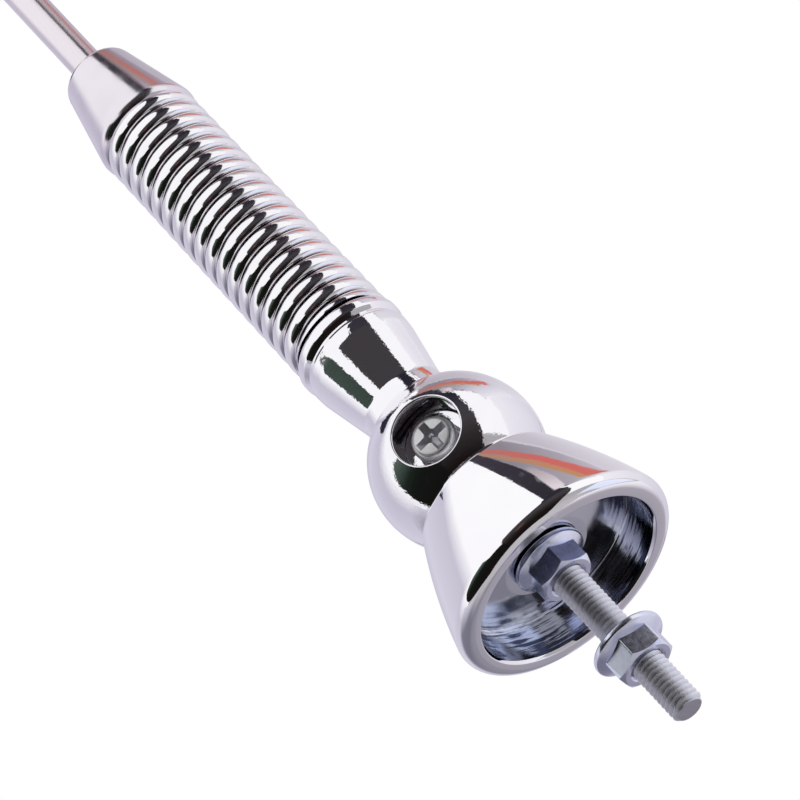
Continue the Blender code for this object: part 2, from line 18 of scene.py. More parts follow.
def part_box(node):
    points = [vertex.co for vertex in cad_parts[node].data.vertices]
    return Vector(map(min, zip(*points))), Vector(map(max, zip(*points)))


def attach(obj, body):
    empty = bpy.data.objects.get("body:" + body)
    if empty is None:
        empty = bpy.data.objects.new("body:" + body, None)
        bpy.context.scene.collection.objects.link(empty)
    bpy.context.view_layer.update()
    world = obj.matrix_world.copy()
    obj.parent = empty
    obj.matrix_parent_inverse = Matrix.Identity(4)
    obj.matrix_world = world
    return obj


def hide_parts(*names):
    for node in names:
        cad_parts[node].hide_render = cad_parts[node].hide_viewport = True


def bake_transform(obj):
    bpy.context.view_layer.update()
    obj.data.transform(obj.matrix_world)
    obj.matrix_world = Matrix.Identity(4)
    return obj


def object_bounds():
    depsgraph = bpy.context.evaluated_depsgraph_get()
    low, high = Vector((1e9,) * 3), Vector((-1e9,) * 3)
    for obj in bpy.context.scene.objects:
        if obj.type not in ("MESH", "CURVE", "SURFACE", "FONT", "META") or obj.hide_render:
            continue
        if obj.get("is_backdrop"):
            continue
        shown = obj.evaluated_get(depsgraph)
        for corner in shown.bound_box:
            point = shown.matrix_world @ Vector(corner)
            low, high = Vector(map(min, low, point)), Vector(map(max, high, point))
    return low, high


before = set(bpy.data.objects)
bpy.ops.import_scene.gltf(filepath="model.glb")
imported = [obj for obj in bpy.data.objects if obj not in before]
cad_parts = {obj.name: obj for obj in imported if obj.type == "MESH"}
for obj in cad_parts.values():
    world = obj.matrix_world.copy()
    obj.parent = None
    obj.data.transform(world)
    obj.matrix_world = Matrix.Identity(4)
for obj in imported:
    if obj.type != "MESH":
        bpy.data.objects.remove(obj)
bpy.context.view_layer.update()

# %% [markdown]
# A part like this is drawn in millimetres and Blender counts in metres, so one value does the
# change. The heights and radii below are those of the real pieces. Most of them are turned round
# the same axis, which means that a short list of radii and heights describes them completely.
# Pieces that could rub keep a little play between them.

# %% The sizes of the real pieces
MM = 0.001
BALL_Z = 31.1 * MM
BALL_R = 15.3 * MM
BALL_CENTRE = Vector((0, 0, BALL_Z))
RIM_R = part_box("bell")[1].x
SPRING_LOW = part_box("coil_spring")[0].z
SPRING_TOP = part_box("coil_spring")[1].z
PLAY = 0.3 * MM
FERRULE_LOW = SPRING_TOP + PLAY
FERRULE_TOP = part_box("ferrule")[1].z
STUD_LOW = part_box("mounting_stud")[0].z
STUD_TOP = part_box("mounting_stud")[1].z
print("rim", round(RIM_R / MM, 2), "spring", round(SPRING_LOW / MM, 2), "to", round(SPRING_TOP / MM, 2))

# %% [markdown]
# The camera looks at the antenna from the stud's side, a little below the bell, through a long
# lens. It could be aimed with a constraint, but then it would turn again when another view is
# wanted. Plain numbers for its place and its turn are steadier. They come from fitting a camera
# to the outlines of the bell, the ball and the spring.

# %% Place the camera
def put_in_scene(name, data):
    """An object for a mesh, a lamp or a camera, linked to the scene."""
    thing = bpy.data.objects.new(name, data)
    bpy.context.scene.collection.objects.link(thing)
    return thing


camera_data = bpy.data.cameras.new("camera")
camera_data.sensor_width = 36.0
camera_data.lens = 144.84
camera_data.clip_start = 0.01
camera_data.clip_end = 30.0
camera = put_in_scene("camera", camera_data)
camera.location = (0.01349, -0.45461, -0.25476)
camera.rotation_euler = [math.radians(angle) for angle in (132.362, 34.634, 29.102)]
bpy.context.scene.camera = camera
CAMERA_BEARING = math.atan2(camera.location.y, camera.location.x)
print("camera", round((camera.location - BALL_CENTRE).length, 3), "m from the ball")

# %% [markdown]
# Colours are chosen from a screen, so they are written as sRGB hex values. The shaders
# work in linear light, and one function makes the change. Another one adds a node, sets it and
# links it in one line, so that a material reads from top to bottom like a recipe. Patterns are
# thought of in millimetres, and their scale counts repeats in a metre.

# %% Helpers for materials
def linear(hex_colour):
    """An sRGB hex colour as the linear values that the shaders use."""
    values = [int(hex_colour[i:i + 2], 16) / 255 for i in (1, 3, 5)]
    changed = [v / 12.92 if v <= 0.04045 else ((v + 0.055) / 1.055) ** 2.4 for v in values]
    return (*changed, 1.0)


def new_material(name):
    """A material and its node tree, with a Principled shader in it."""
    made = bpy.data.materials.new(name)
    made.use_nodes = True
    return made, made.node_tree


def add(tree, kind, settings=None, links=None):
    """Adds a node. Settings name sockets or properties, links name sockets and what feeds them.
    The sockets of a Mix node for colours go by number: 0 is the factor, 6 and 7 are the colours."""
    node = tree.nodes.new(kind)
    for name, value in (settings or {}).items():
        if isinstance(name, int) or name in node.inputs:
            node.inputs[name].default_value = value
        else:
            setattr(node, name, value)
    for name, source in (links or {}).items():
        tree.links.new(source, node.inputs[name])
    return node


def per_metre(size_mm):
    """The scale of a pattern whose repeat has this size."""
    return 1000.0 / size_mm


print("mid grey #808080 is", round(linear("#808080")[0], 3), "in linear light")

# %% [markdown]
# The studio of the photograph is a white tent with a few dark gaps, and the chrome shows all of
# it. The world gives the even white of the tent. A camera ray, a reflection or a ray through
# glass meets the full white, while the light that falls on matt surfaces is kept lower, so that
# the softboxes still shape the object.

# %% The white tent
WHITE = 1.0
FILL = 0.5
world = bpy.data.worlds.new("tent")
bpy.context.scene.world = world
world.use_nodes = True
tent = world.node_tree
tent.nodes.clear()
rays = add(tent, "ShaderNodeLightPath")
seen = add(tent, "ShaderNodeMath", {"operation": "MAXIMUM"},
           {0: rays.outputs["Is Camera Ray"], 1: rays.outputs["Is Glossy Ray"]})
seen = add(tent, "ShaderNodeMath", {"operation": "MAXIMUM"},
           {0: seen.outputs[0], 1: rays.outputs["Is Transmission Ray"]})
fill = add(tent, "ShaderNodeBackground", {"Color": linear("#F4F2F7"), "Strength": FILL})
white = add(tent, "ShaderNodeBackground", {"Color": linear("#FFFFFF"), "Strength": WHITE})
mixed = add(tent, "ShaderNodeMixShader", {},
            {0: seen.outputs[0], 1: fill.outputs[0], 2: white.outputs[0]})
add(tent, "ShaderNodeOutputWorld", {}, {"Surface": mixed.outputs[0]})
bpy.context.scene.view_settings.view_transform = "Standard"
print("world strengths:", WHITE, "seen,", FILL, "as fill")

# %% [markdown]
# The antenna hangs by its stud in this frame, well above a plain pale floor, because in use it
# stands on a panel and not on a table. The floor closes the room from below, and it shows in the
# undersides. It is plain matt paper, so one colour is enough for it.

# %% The floor
def mesh_piece(name, shape):
    """Keeps what was built in bmesh as an object of its own."""
    mesh = bpy.data.meshes.new(name)
    shape.to_mesh(mesh)
    shape.free()
    return put_in_scene(name, mesh)


shape = bmesh.new()
bmesh.ops.create_grid(shape, x_segments=8, y_segments=8, size=4.0)
floor = mesh_piece("studio_floor", shape)
floor.location = (0, 0, -1.5)
paper, tree = new_material("matt_white_paper")
shader = tree.nodes["Principled BSDF"]
shader.inputs["Base Color"].default_value = linear("#F0EFEE")
shader.inputs["Roughness"].default_value = 0.9
floor.data.materials.append(paper)
floor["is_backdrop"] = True
print("floor at", floor.location.z, "m")

# %% [markdown]
# Two softboxes light what is matt: one to the right of the camera and one up along the mast.
# Their power follows from the brightness of their surface: a lamp of area A and power P has the
# radiance P / (pi A). Chrome doesn't see them. Seen in chrome, a lamp would add its light to the
# white of the tent behind it, and every highlight would clip.

# %% The softboxes
def direction(bearing, height):
    """A direction from the ball: degrees to the right of the camera, and degrees up the mast."""
    turn = CAMERA_BEARING + math.radians(bearing)
    rise = math.radians(height)
    return Vector((math.cos(rise) * math.cos(turn), math.cos(rise) * math.sin(turn), math.sin(rise)))


def softbox(name, bearing, height, distance, width, depth, radiance):
    """A lamp at a bearing, height and distance from the ball, which faces it. Sizes are in metres."""
    data = bpy.data.lights.new(name, "AREA")
    data.shape = "RECTANGLE"
    data.size = width
    data.size_y = depth
    data.energy = radiance * math.pi * width * depth
    lamp = put_in_scene(name, data)
    lamp.location = BALL_CENTRE + direction(bearing, height) * distance
    lamp.rotation_euler = (-direction(bearing, height)).to_track_quat("-Z", "Y").to_euler()
    lamp.visible_camera = False
    lamp.visible_glossy = False
    print(name, "gives", round(data.energy, 2), "W")


softbox("softbox_right", bearing=100, height=-2, distance=1.2, width=1.5, depth=1.3, radiance=1.1)
softbox("softbox_mast_end", bearing=-25, height=66, distance=1.2, width=1.2, depth=0.9, radiance=1.02)

# %% [markdown]
# Chrome has no colour of its own to speak of. What the eye reads as its form is the dark between
# the lights: the gap where the camera stands, the seams of the tent and a few warm things outside
# it. These are cards on spheres round the ball, so bearing and height alone place them, and the
# nearer card hides the one behind it. Only reflections meet them. They cast no shadow and don't
# change the light on anything matt. A flat plane would be simpler, but its far corners would lie
# at another height than its middle, and a sphere keeps the edges where the numbers say.

# %% A card for the reflections
CARD_DISTANCE = 0.6
CARD_STEPS = 16


def along(points, share):
    """The place at a share of the way along a chain of bearings and heights."""
    reach = share * (len(points) - 1)
    i = min(int(reach), len(points) - 2)
    return [a + (b - a) * (reach - i) for a, b in zip(points[i], points[i + 1])]


def card(name, left, right, colours, across=False, fade=(0.0, 0.0), distance=CARD_DISTANCE):
    """A patch between two sides, each a chain of (bearing, height) in degrees from low to high."""
    shape = bmesh.new()
    layer = shape.loops.layers.uv.new("patch")
    grid = []
    for i in range(CARD_STEPS + 1):
        start, end = along(left, i / CARD_STEPS), along(right, i / CARD_STEPS)
        places = [along([start, end], j / CARD_STEPS) for j in range(CARD_STEPS + 1)]
        grid.append([shape.verts.new(BALL_CENTRE + direction(*place) * distance) for place in places])
    for i in range(CARD_STEPS):
        for j in range(CARD_STEPS):
            corners = [(i, j), (i, j + 1), (i + 1, j + 1), (i + 1, j)]
            face = shape.faces.new([grid[a][b] for a, b in corners])
            for loop, (a, b) in zip(face.loops, corners):
                loop[layer].uv = (b / CARD_STEPS, a / CARD_STEPS)
    patch = mesh_piece(name, shape)
    patch.data.materials.append(card_material(name, colours, across, fade))
    patch.visible_camera = False
    patch.visible_diffuse = False
    patch.visible_shadow = False
    patch.visible_transmission = False
    patch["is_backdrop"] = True


print("a card has", CARD_STEPS ** 2, "faces and hangs", CARD_DISTANCE, "m from the ball")

# %% [markdown]
# What a card shows is out of focus for the chrome, so it never has one flat tone. A colour ramp
# leads from one end of it to the other, or across it, and its sides can fade into what is behind.
# An image would do the same, but a few colours are easier to tune.

# %% The glow of a card
LEAST_FADE = 0.001


def card_material(name, colours, across, fade):
    """A glow in even steps of colour. It thins out near the two sides and the two ends if it fades."""
    made, tree = new_material(name)
    tree.nodes.clear()
    place = add(tree, "ShaderNodeUVMap", {"uv_map": "patch"})
    split = add(tree, "ShaderNodeSeparateXYZ", {}, {0: place.outputs[0]})
    blend = add(tree, "ShaderNodeValToRGB", {}, {0: split.outputs["X" if across else "Y"]})
    stops = blend.color_ramp.elements
    for i in range(1, len(colours) - 1):
        stops.new(i / (len(colours) - 1))
    for stop, colour in zip(stops, colours):
        stop.color = linear(colour)
    glow = add(tree, "ShaderNodeEmission", {"Strength": 1.0}, {"Color": blend.outputs[0]})
    out = add(tree, "ShaderNodeOutputMaterial")
    if fade == (0.0, 0.0):
        tree.links.new(glow.outputs[0], out.inputs["Surface"])
        return made
    ways = []
    for axis, share in zip(("X", "Y"), fade):
        wave = add(tree, "ShaderNodeMath", {"operation": "PINGPONG", 1: 0.5}, {0: split.outputs[axis]})
        rise = add(tree, "ShaderNodeMapRange",
                   {"interpolation_type": "SMOOTHSTEP", "From Max": max(share, LEAST_FADE)},
                   {"Value": wave.outputs[0]})
        ways.append(rise.outputs[0])
    cover = add(tree, "ShaderNodeMath", {"operation": "MULTIPLY"}, {0: ways[0], 1: ways[1]})
    clear = add(tree, "ShaderNodeBsdfTransparent")
    edge = add(tree, "ShaderNodeMixShader", {},
               {0: cover.outputs[0], 1: clear.outputs[0], 2: glow.outputs[0]})
    tree.links.new(edge.outputs[0], out.inputs["Surface"])
    return made


print("a side that doesn't fade still softens over", LEAST_FADE, "of the card")

# %% [markdown]
# The tent's walls are a pale lilac, darker towards the back. Behind the object it gets greyer
# still, and the flat underside of the rim mirrors just that. A cool window glows low on the right.

# %% The walls of the tent
TENT_R = 0.95
card("tent_wall_left", [(-192, -20), (-192, 20), (-192, 66)], [(-76, -20), (-76, 26), (-70, 84)],
     ["#A6A3B8", "#C8C5D5", "#D6D3E1", "#CFCCDA", "#C8C5D3", "#FFFFFF"],
     across=True, fade=(0, 0.1), distance=TENT_R)
card("tent_wall_right", [(84, -24), (85, 4), (86, 26)], [(170, -24), (170, 4), (170, 40)],
     ["#F3F1F6", "#E4E1E9", "#CFCBD8"], across=True, fade=(0, 0.1), distance=TENT_R)
card("tent_back_right", [(128, -64), (128, -40), (128, -18)], [(184, -64), (184, -40), (184, -18)],
     ["#F4F3F6", "#E9E7EC", "#D3D0D7", "#ADA8B1", "#9A97A2"], across=True, distance=TENT_R)
card("tent_back_left", [(-176, -64), (-176, -30), (-176, 4)], [(-84, -64), (-84, -30), (-84, 4)],
     ["#8F8D99", "#767583", "#7C7B89", "#CFCDD9"], across=True, fade=(0, 0.3), distance=TENT_R - 0.02)
card("window_right", [(70, -56), (74, -38), (78, -22)], [(128, -56), (128, -38), (128, -22)],
     ["#DCE6FF", "#EEF2FF"], distance=TENT_R, fade=(0.12, 0.12))
print("the tent stands", TENT_R, "m from the ball")

# %% [markdown]
# The camera looks through a wide gap in the tent. What is behind it is nearly black low down and
# a dull purple grey higher up, and a narrow strip of it goes on to the top of the tent.

# %% The gap round the camera
NEAR = 0.36
card("gap_left", [(-78, -66), (-79, -30), (-76, -6), (-74, 8), (-74, 18), (-69, 27), (-64, 33)],
     [(-18, -66), (-18, -30), (-18, 0), (-34, 8), (-39, 18), (-43, 27), (-46, 33)],
     ["#15120F", "#141312", "#151815", "#1D241F", "#3B4640", "#4E5952", "#59635D"], distance=NEAR)
card("gap_camera", [(-19, -66), (-19, -30), (-19, -6), (-19, 9)],
     [(38, -66), (42, -36), (50, -12), (54, 11)],
     ["#17110F", "#1A1414", "#302C2D", "#423E40"], distance=NEAR)
card("gap_front", [(-19, 8), (-18, 22), (14, 29), (29, 37), (35, 48)],
     [(54, 8), (54, 17), (56, 27), (60, 37), (63, 48)],
     ["#3F3C3E", "#413E41", "#34323B", "#26262F"], distance=NEAR)
card("gap_strip", [(35, 43), (41, 56), (40, 78), (24, 112)], [(62, 43), (66, 56), (70, 78), (88, 112)],
     ["#26262F", "#332F36", "#3E3A44", "#2A2A33"], fade=(0.04, 0))
card("gap_seam", [(82, 22), (80, 34), (67, 49), (52, 64)], [(84, 22), (82, 34), (71, 51), (58, 68)],
     ["#CFCBD4", "#8F8A93", "#4A4650"], fade=(0.25, 0.02))
print("the gap's cards hang", NEAR, "m from the ball")

# %% [markdown]
# Through the seam of the tent the chrome also sees the room: a grey curtain and a few warm,
# blurred things. They give the orange and red streaks on the bell and the ball. The brown one
# stands close to the camera. Each is a card of its own, so that its soft sides can be set alone.

# %% The things outside the tent
card("grey_curtain", [(84, 24), (80, 34), (69, 51), (56, 66), (54, 80)],
     [(126, 24), (124, 34), (120, 51), (116, 66), (114, 80)],
     ["#F1EFF4", "#DDDAE2", "#ABA5AE", "#8E8891", "#8E8891"], fade=(0.05, 0.04), distance=0.8)
card("grey_curtain_far", [(112, 24), (110, 51), (104, 80)], [(184, 24), (180, 51), (176, 80)],
     ["#E9E6ED", "#C6C1CA", "#B4AEB7"], fade=(0.2, 0.08), distance=0.82)
card("orange_thing", [(100, 38), (88, 49), (77, 62), (64, 78)], [(108, 40), (97, 52), (86, 65), (72, 81)],
     ["#C79468", "#C08A66", "#A98872"], fade=(0.3, 0.06))
card("red_thing", [(112, 36), (98, 45), (86, 62), (73, 79)], [(121, 40), (108, 49), (95, 65), (82, 82)],
     ["#D5726A", "#CF6C66", "#B9756C"], fade=(0.2, 0.06), distance=0.59)
card("pale_patch", [(57, 53), (61, 58), (70, 63)], [(68, 49), (78, 54), (76, 61)],
     ["#F2EAEC", "#C9BFC3", "#A0969B"], fade=(0.15, 0.15), distance=0.57)
card("brown_thing", [(-8, -14), (-6, -8), (-4, -3)], [(6, -15), (8, -8), (10, -3)],
     ["#8A5753", "#6B4745"], fade=(0.4, 0.4), distance=NEAR - 0.01)

# %% [markdown]
# Every finish here is a metal that was cast, drawn or turned and then plated. A mirror is never
# quite flat: casting leaves slow waves, polishing leaves finer ones, and dust under the plate
# leaves pits. Slopes of a few hundredths are enough to fray the edge of a reflection. So one
# recipe serves them all: slow and fine waves with a size in millimetres and a depth in
# micrometres, a roughness that wanders, and two close tones.

# %% The recipe for a plated metal
MICRON = 0.000001
PIT_SHARE = 0.12


def plated(name, tones, roughness, waves, pits=None, stretch=(1, 1, 1), patch_mm=9.0):
    """A metal with wavy, slightly uneven plating. Waves are pairs of width in mm and depth in
    microns, and so is a pit. A pit takes up PIT_SHARE of its cell."""
    made, tree = new_material(name)
    shader = tree.nodes["Principled BSDF"]
    shader.inputs["Metallic"].default_value = 1.0
    place = add(tree, "ShaderNodeTexCoord")
    drawn = add(tree, "ShaderNodeMapping", {"Scale": stretch}, {"Vector": place.outputs["Object"]})
    patches = add(tree, "ShaderNodeTexNoise", {"Scale": per_metre(patch_mm), "Detail": 3.0},
                  {"Vector": drawn.outputs[0]})
    tone = add(tree, "ShaderNodeMix", {"data_type": "RGBA", 6: linear(tones[0]), 7: linear(tones[1])},
               {0: patches.outputs[0]})
    tree.links.new(tone.outputs[2], shader.inputs["Base Color"])
    rubbed = add(tree, "ShaderNodeTexNoise", {"Scale": per_metre(patch_mm / 3), "Detail": 4.0},
                 {"Vector": drawn.outputs[0]})
    rough = add(tree, "ShaderNodeMapRange",
                {"From Min": 0.3, "From Max": 0.7, "To Min": roughness[0], "To Max": roughness[1]},
                {"Value": rubbed.outputs[0]})
    tree.links.new(rough.outputs[0], shader.inputs["Roughness"])
    normal = None
    for width, depth in waves:
        wave = add(tree, "ShaderNodeTexNoise", {"Scale": per_metre(width), "Detail": 1.5},
                   {"Vector": drawn.outputs[0]})
        links = {"Height": wave.outputs[0]}
        if normal:
            links["Normal"] = normal
        bump = add(tree, "ShaderNodeBump", {"Strength": 1.0, "Distance": depth * MICRON}, links)
        normal = bump.outputs[0]
    if pits:
        spacing, depth = pits
        cells = add(tree, "ShaderNodeTexVoronoi", {"Scale": per_metre(spacing)},
                    {"Vector": drawn.outputs[0]})
        hole = add(tree, "ShaderNodeMapRange", {"From Max": PIT_SHARE},
                   {"Value": cells.outputs["Distance"]})
        bump = add(tree, "ShaderNodeBump", {"Strength": 1.0, "Distance": depth * MICRON},
                   {"Height": hole.outputs[0], "Normal": normal})
        normal = bump.outputs[0]
    tree.links.new(normal, shader.inputs["Normal"])
    return made


print("a wave of 0.9 mm repeats", round(per_metre(0.9)), "times in a metre")

# %% [markdown]
# Chrome plate over polished die-cast zinc is the brightest finish of the object. It is a little
# lilac in the greys. The bell was polished longest, so its waves are slow. The knuckle has more
# corners and got less polishing, and its casting skin shows as frayed edges and small pits. The
# recess under the bell wasn't polished at all: the tool left marks along its wall, and its floor
# was only brushed, so it is satin. The ferrule was turned and blurs the room evenly, and the
# spring's wire was plated after winding.

# %% The chrome finishes
bell_chrome = plated("chrome_on_polished_zinc", ("#F7F5FA", "#FDFCFE"), (0.02, 0.07),
                     [(7.0, 30.0), (0.9, 3.0)], pits=(2.6, 3.0))
knuckle_chrome = plated("chrome_on_cast_zinc", ("#F3F1F7", "#FAF9FC"), (0.02, 0.07),
                        [(5.0, 25.0), (0.7, 17.0), (0.3, 5.0)], pits=(1.7, 8.0), patch_mm=6.0)
recess_chrome = plated("chrome_on_unpolished_zinc", ("#C3CADC", "#E2E6F2"), (0.04, 0.16),
                       [(0.3, 9.0), (1.2, 14.0)], stretch=(0.1, 0.1, 1), patch_mm=1.5)
floor_chrome = plated("chrome_on_brushed_zinc", ("#D5D6DE", "#E3E4EB"), (0.1, 0.18),
                      [(3.0, 12.0), (0.7, 3.0)])
ferrule_chrome = plated("chrome_on_turned_zinc", ("#E2DBE5", "#F1ECF3"), (0.12, 0.22),
                        [(5.0, 5.0), (0.7, 0.6)], pits=(2.2, 1.0))
wire_chrome = plated("chrome_on_spring_wire", ("#F3F1F6", "#FBFAFC"), (0.05, 0.12),
                     [(3.0, 8.0), (0.5, 3.0)], patch_mm=4.0)
chromes = (bell_chrome, knuckle_chrome, recess_chrome, floor_chrome, ferrule_chrome, wire_chrome)
print("chrome finishes:", [made.name for made in chromes])

# %% [markdown]
# The mast is drawn brass tube with bright nickel, which is warmer than chrome and keeps faint
# lines along the way it was drawn. Stretching the pattern along the tube gives them: the same
# noise, with its height scaled down, becomes long thin threads. Real ones are finer than a tenth
# of a millimetre. They are drawn half a millimetre wide here, or they wouldn't show. The plug and
# the sleeves inside are bare brass with rings from the lathe, which are drawn coarser too.

# %% Nickel and brass
tube_nickel = plated("nickel_on_drawn_brass", ("#E6DEE6", "#F2ECF1"), (0.2, 0.3),
                     [(0.5, 0.35), (2.0, 0.5)], stretch=(1, 1, 0.03), patch_mm=3.0)
turned_brass = plated("turned_brass", ("#B9924C", "#CBA662"), (0.2, 0.32),
                      [(0.25, 1.2)], stretch=(0.1, 0.1, 1), patch_mm=2.0)
print("mast finishes:", tube_nickel.name, "and", turned_brass.name)

# %% [markdown]
# The nuts and the lock washer are bright zinc with a blue passivation. Zinc is softer and greyer
# than chrome, its blue comes and goes in patches, and it is rough enough to blur the room. The
# screw's head is satin and nearly white, and its cross recess is greyer. The
# rolled thread of the stud has a dull, pale coat, and its sheared end is the darkest zinc.

# %% Zinc finishes
nut_zinc = plated("blue_passivated_zinc", ("#D8DDF4", "#EFF0FD"), (0.16, 0.28),
                  [(1.4, 6.0), (0.4, 1.5)], pits=(1.4, 3.0), patch_mm=2.8)
screw_zinc = plated("satin_zinc_on_steel", ("#F0F1F4", "#FFFFFF"), (0.42, 0.52),
                    [(0.7, 8.0)], patch_mm=1.8)
slot_zinc = plated("greyer_zinc_in_cross_recess", ("#CDCFD6", "#E9EAEE"), (0.45, 0.55),
                   [(0.5, 8.0)], patch_mm=0.8)
thread_zinc = plated("zinc_on_rolled_thread", ("#F1F2F9", "#FFFFFF"), (0.45, 0.58),
                     [(0.8, 6.0), (0.25, 2.0)], patch_mm=1.5)
cut_zinc = plated("zinc_on_sheared_end", ("#B6B5BB", "#C6C5CA"), (0.34, 0.46),
                  [(0.4, 5.0)], patch_mm=1.2)
zincs = (nut_zinc, screw_zinc, slot_zinc, thread_zinc, cut_zinc)
print("zinc finishes:", [made.name for made in zincs])

# %% [markdown]
# A rolled thread is a little greyer at its root than on its crests, which rub clean. The distance
# from the stud's axis says where the root is, so it can carry a second tone without any texture.

# %% A greyer root in the thread
ROOT_R = 2.42 * MM
CREST_R = 2.82 * MM
tree = thread_zinc.node_tree
base = tree.nodes["Principled BSDF"].inputs["Base Color"]
place = add(tree, "ShaderNodeTexCoord")
flat = add(tree, "ShaderNodeVectorMath", {"operation": "MULTIPLY", 1: (1, 1, 0)},
           {0: place.outputs["Object"]})
radius = add(tree, "ShaderNodeVectorMath", {"operation": "LENGTH"}, {0: flat.outputs[0]})
crest = add(tree, "ShaderNodeMapRange", {"From Min": ROOT_R, "From Max": CREST_R},
            {"Value": radius.outputs["Value"]})
root = add(tree, "ShaderNodeMix", {"data_type": "RGBA", 6: linear("#E0E1EA")},
           {0: crest.outputs[0], 7: base.links[0].from_socket})
tree.links.new(root.outputs[2], base)
print("the thread is greyest below", round(ROOT_R / MM, 2), "mm from the axis")

# %% [markdown]
# The wall of the recess was turned and never polished, and the tool left ridges that run round the wall.
# The ridges keep the bright plate, and between them the wall is painted a dull slate blue, which is
# painted shade of the deep recess. The marks
# are noise that is stretched round the axis, and a much wider noise gathers them in patches. Real
# marks lie about a tenth of a millimetre apart, and are drawn coarser here so that they show.

# %% Turning marks and painted shade in the recess
MARK_MM = 0.5
PATCH_MM = 11
tree = recess_chrome.node_tree
base = tree.nodes["Principled BSDF"].inputs["Base Color"]
place = add(tree, "ShaderNodeTexCoord")
drawn = add(tree, "ShaderNodeMapping", {"Scale": (0.06, 0.06, 1)}, {"Vector": place.outputs["Object"]})
marks = add(tree, "ShaderNodeTexNoise", {"Scale": per_metre(MARK_MM), "Detail": 4.0, "Roughness": 0.7},
            {"Vector": drawn.outputs[0]})
wide = add(tree, "ShaderNodeTexNoise", {"Scale": per_metre(PATCH_MM)},
           {"Vector": place.outputs["Object"]})
both = add(tree, "ShaderNodeMath", {"operation": "MULTIPLY_ADD", 1: 1.2},
           {0: wide.outputs[0], 2: marks.outputs[0]})
ridge = add(tree, "ShaderNodeMapRange", {"From Min": 1.04, "From Max": 1.15},
            {"Value": both.outputs[0]})
# Between the ridges the wall is painted dark slate blue, as painted shade of the recess.
shaded_tone = add(tree, "ShaderNodeMix", {"data_type": "RGBA", 6: linear("#454C60")},
           {0: ridge.outputs[0], 7: base.links[0].from_socket})
tree.links.new(shaded_tone.outputs[2], base)
print("tool marks", MARK_MM, "mm apart, in patches of about", PATCH_MM, "mm")

# %% [markdown]
# The wire is painted darker and browner where it faces in between the coils, which is painted shade. The
# mesh of the spring carries a number for each vertex that says how deep it lies between the coils, and
# the painted shade grows with it.

# %% Painted shade between the coils
SHADE_LAYER = "shade_between_coils"
tree = wire_chrome.node_tree
base = tree.nodes["Principled BSDF"].inputs["Base Color"]
depth = add(tree, "ShaderNodeAttribute", {"attribute_name": SHADE_LAYER})
# The wire is painted darker and browner with that number, as painted shade between the coils.
shaded_tone = add(tree, "ShaderNodeMix", {"data_type": "RGBA", 7: linear("#9A8F92")},
           {0: depth.outputs["Fac"], 6: base.links[0].from_socket})
tree.links.new(shaded_tone.outputs[2], base)
print("the wire dulls with the layer", SHADE_LAYER)

# %% [markdown]
# The friction washer between the two halves of the ball is acetal, a hard, slightly waxy white
# plastic that was punched from sheet. Little of it ever shows.

# %% Acetal
acetal, tree = new_material("punched_acetal")
shader = tree.nodes["Principled BSDF"]
shader.inputs["IOR"].default_value = 1.48
shader.inputs["Roughness"].default_value = 0.42
grain = add(tree, "ShaderNodeTexNoise", {"Scale": per_metre(0.6), "Detail": 3.0})
tone = add(tree, "ShaderNodeMix", {"data_type": "RGBA", 6: linear("#D6D3C8"), 7: linear("#E4E1D8")},
           {0: grain.outputs[0]})
sheet = add(tree, "ShaderNodeBump", {"Strength": 0.5, "Distance": 3 * MICRON},
            {"Height": grain.outputs[0]})
tree.links.new(tone.outputs[2], shader.inputs["Base Color"])
tree.links.new(sheet.outputs[0], shader.inputs["Normal"])
print(acetal.name, "has an IOR of", round(shader.inputs["IOR"].default_value, 2))

# %% [markdown]
# Chrome forgives nothing in a mesh. A circle of forty sides looks round in plastic, but in a
# mirror each side shows as a kink. So the turned pieces are made again here from the same
# profiles with many more steps: a chain of points, and a Screw modifier that turns it. The
# corners get a real radius, because the thin highlight along an edge is what makes it metal.

# %% Tools for turned pieces
def arc(centre_r, centre_z, radius, start, end, count):
    """Points of an arc in the plane of radius and height, angles in degrees."""
    angles = [math.radians(start + (end - start) * i / count) for i in range(count + 1)]
    return [(centre_r + radius * math.cos(a), centre_z + radius * math.sin(a)) for a in angles]


def heading(start, end):
    """The direction from one point to another, with the length 1."""
    length = math.hypot(end[0] - start[0], end[1] - start[1])
    return ((end[0] - start[0]) / length, (end[1] - start[1]) / length)


def soften(corners, closed=False, count=6):
    """Rounds each corner that has a third number, which is its radius."""
    points = []
    for i, corner in enumerate(corners):
        radius = corner[2] if len(corner) > 2 else 0.0
        if radius <= 0.0 or (not closed and i in (0, len(corners) - 1)):
            points.append(corner[:2])
            continue
        here = corner[:2]
        into = heading(here, corners[i - 1][:2])
        out = heading(here, corners[(i + 1) % len(corners)][:2])
        half = math.acos(max(-1.0, min(1.0, into[0] * out[0] + into[1] * out[1]))) / 2
        reach = radius / math.tan(half)
        middle = heading((0.0, 0.0), (into[0] + out[0], into[1] + out[1]))
        far = radius / math.sin(half)
        centre = (here[0] + middle[0] * far, here[1] + middle[1] * far)
        first = math.atan2(here[1] + into[1] * reach - centre[1], here[0] + into[0] * reach - centre[0])
        last = math.atan2(here[1] + out[1] * reach - centre[1], here[0] + out[0] * reach - centre[0])
        sweep = (last - first + math.pi) % (2 * math.pi) - math.pi
        points += [(centre[0] + radius * math.cos(first + sweep * k / count),
                    centre[1] + radius * math.sin(first + sweep * k / count)) for k in range(count + 1)]
    return points


def turned(name, profile, closed=False, steps=160):
    """A profile turned round Z. It stays a modifier until the piece is finished."""
    mesh = bpy.data.meshes.new(name)
    edges = [(i, i + 1) for i in range(len(profile) - 1)]
    if closed:
        edges.append((len(profile) - 1, 0))
    mesh.from_pydata([(r, 0.0, z) for r, z in profile], edges, [])
    piece = put_in_scene(name, mesh)
    screw = piece.modifiers.new("turn", "SCREW")
    screw.steps = steps
    screw.render_steps = steps
    screw.use_merge_vertices = True
    screw.merge_threshold = MICRON
    return piece


print("a rounded corner has", len(soften([(0, 0), (1, 0, 0.2), (1, 1)])) - 2, "points")
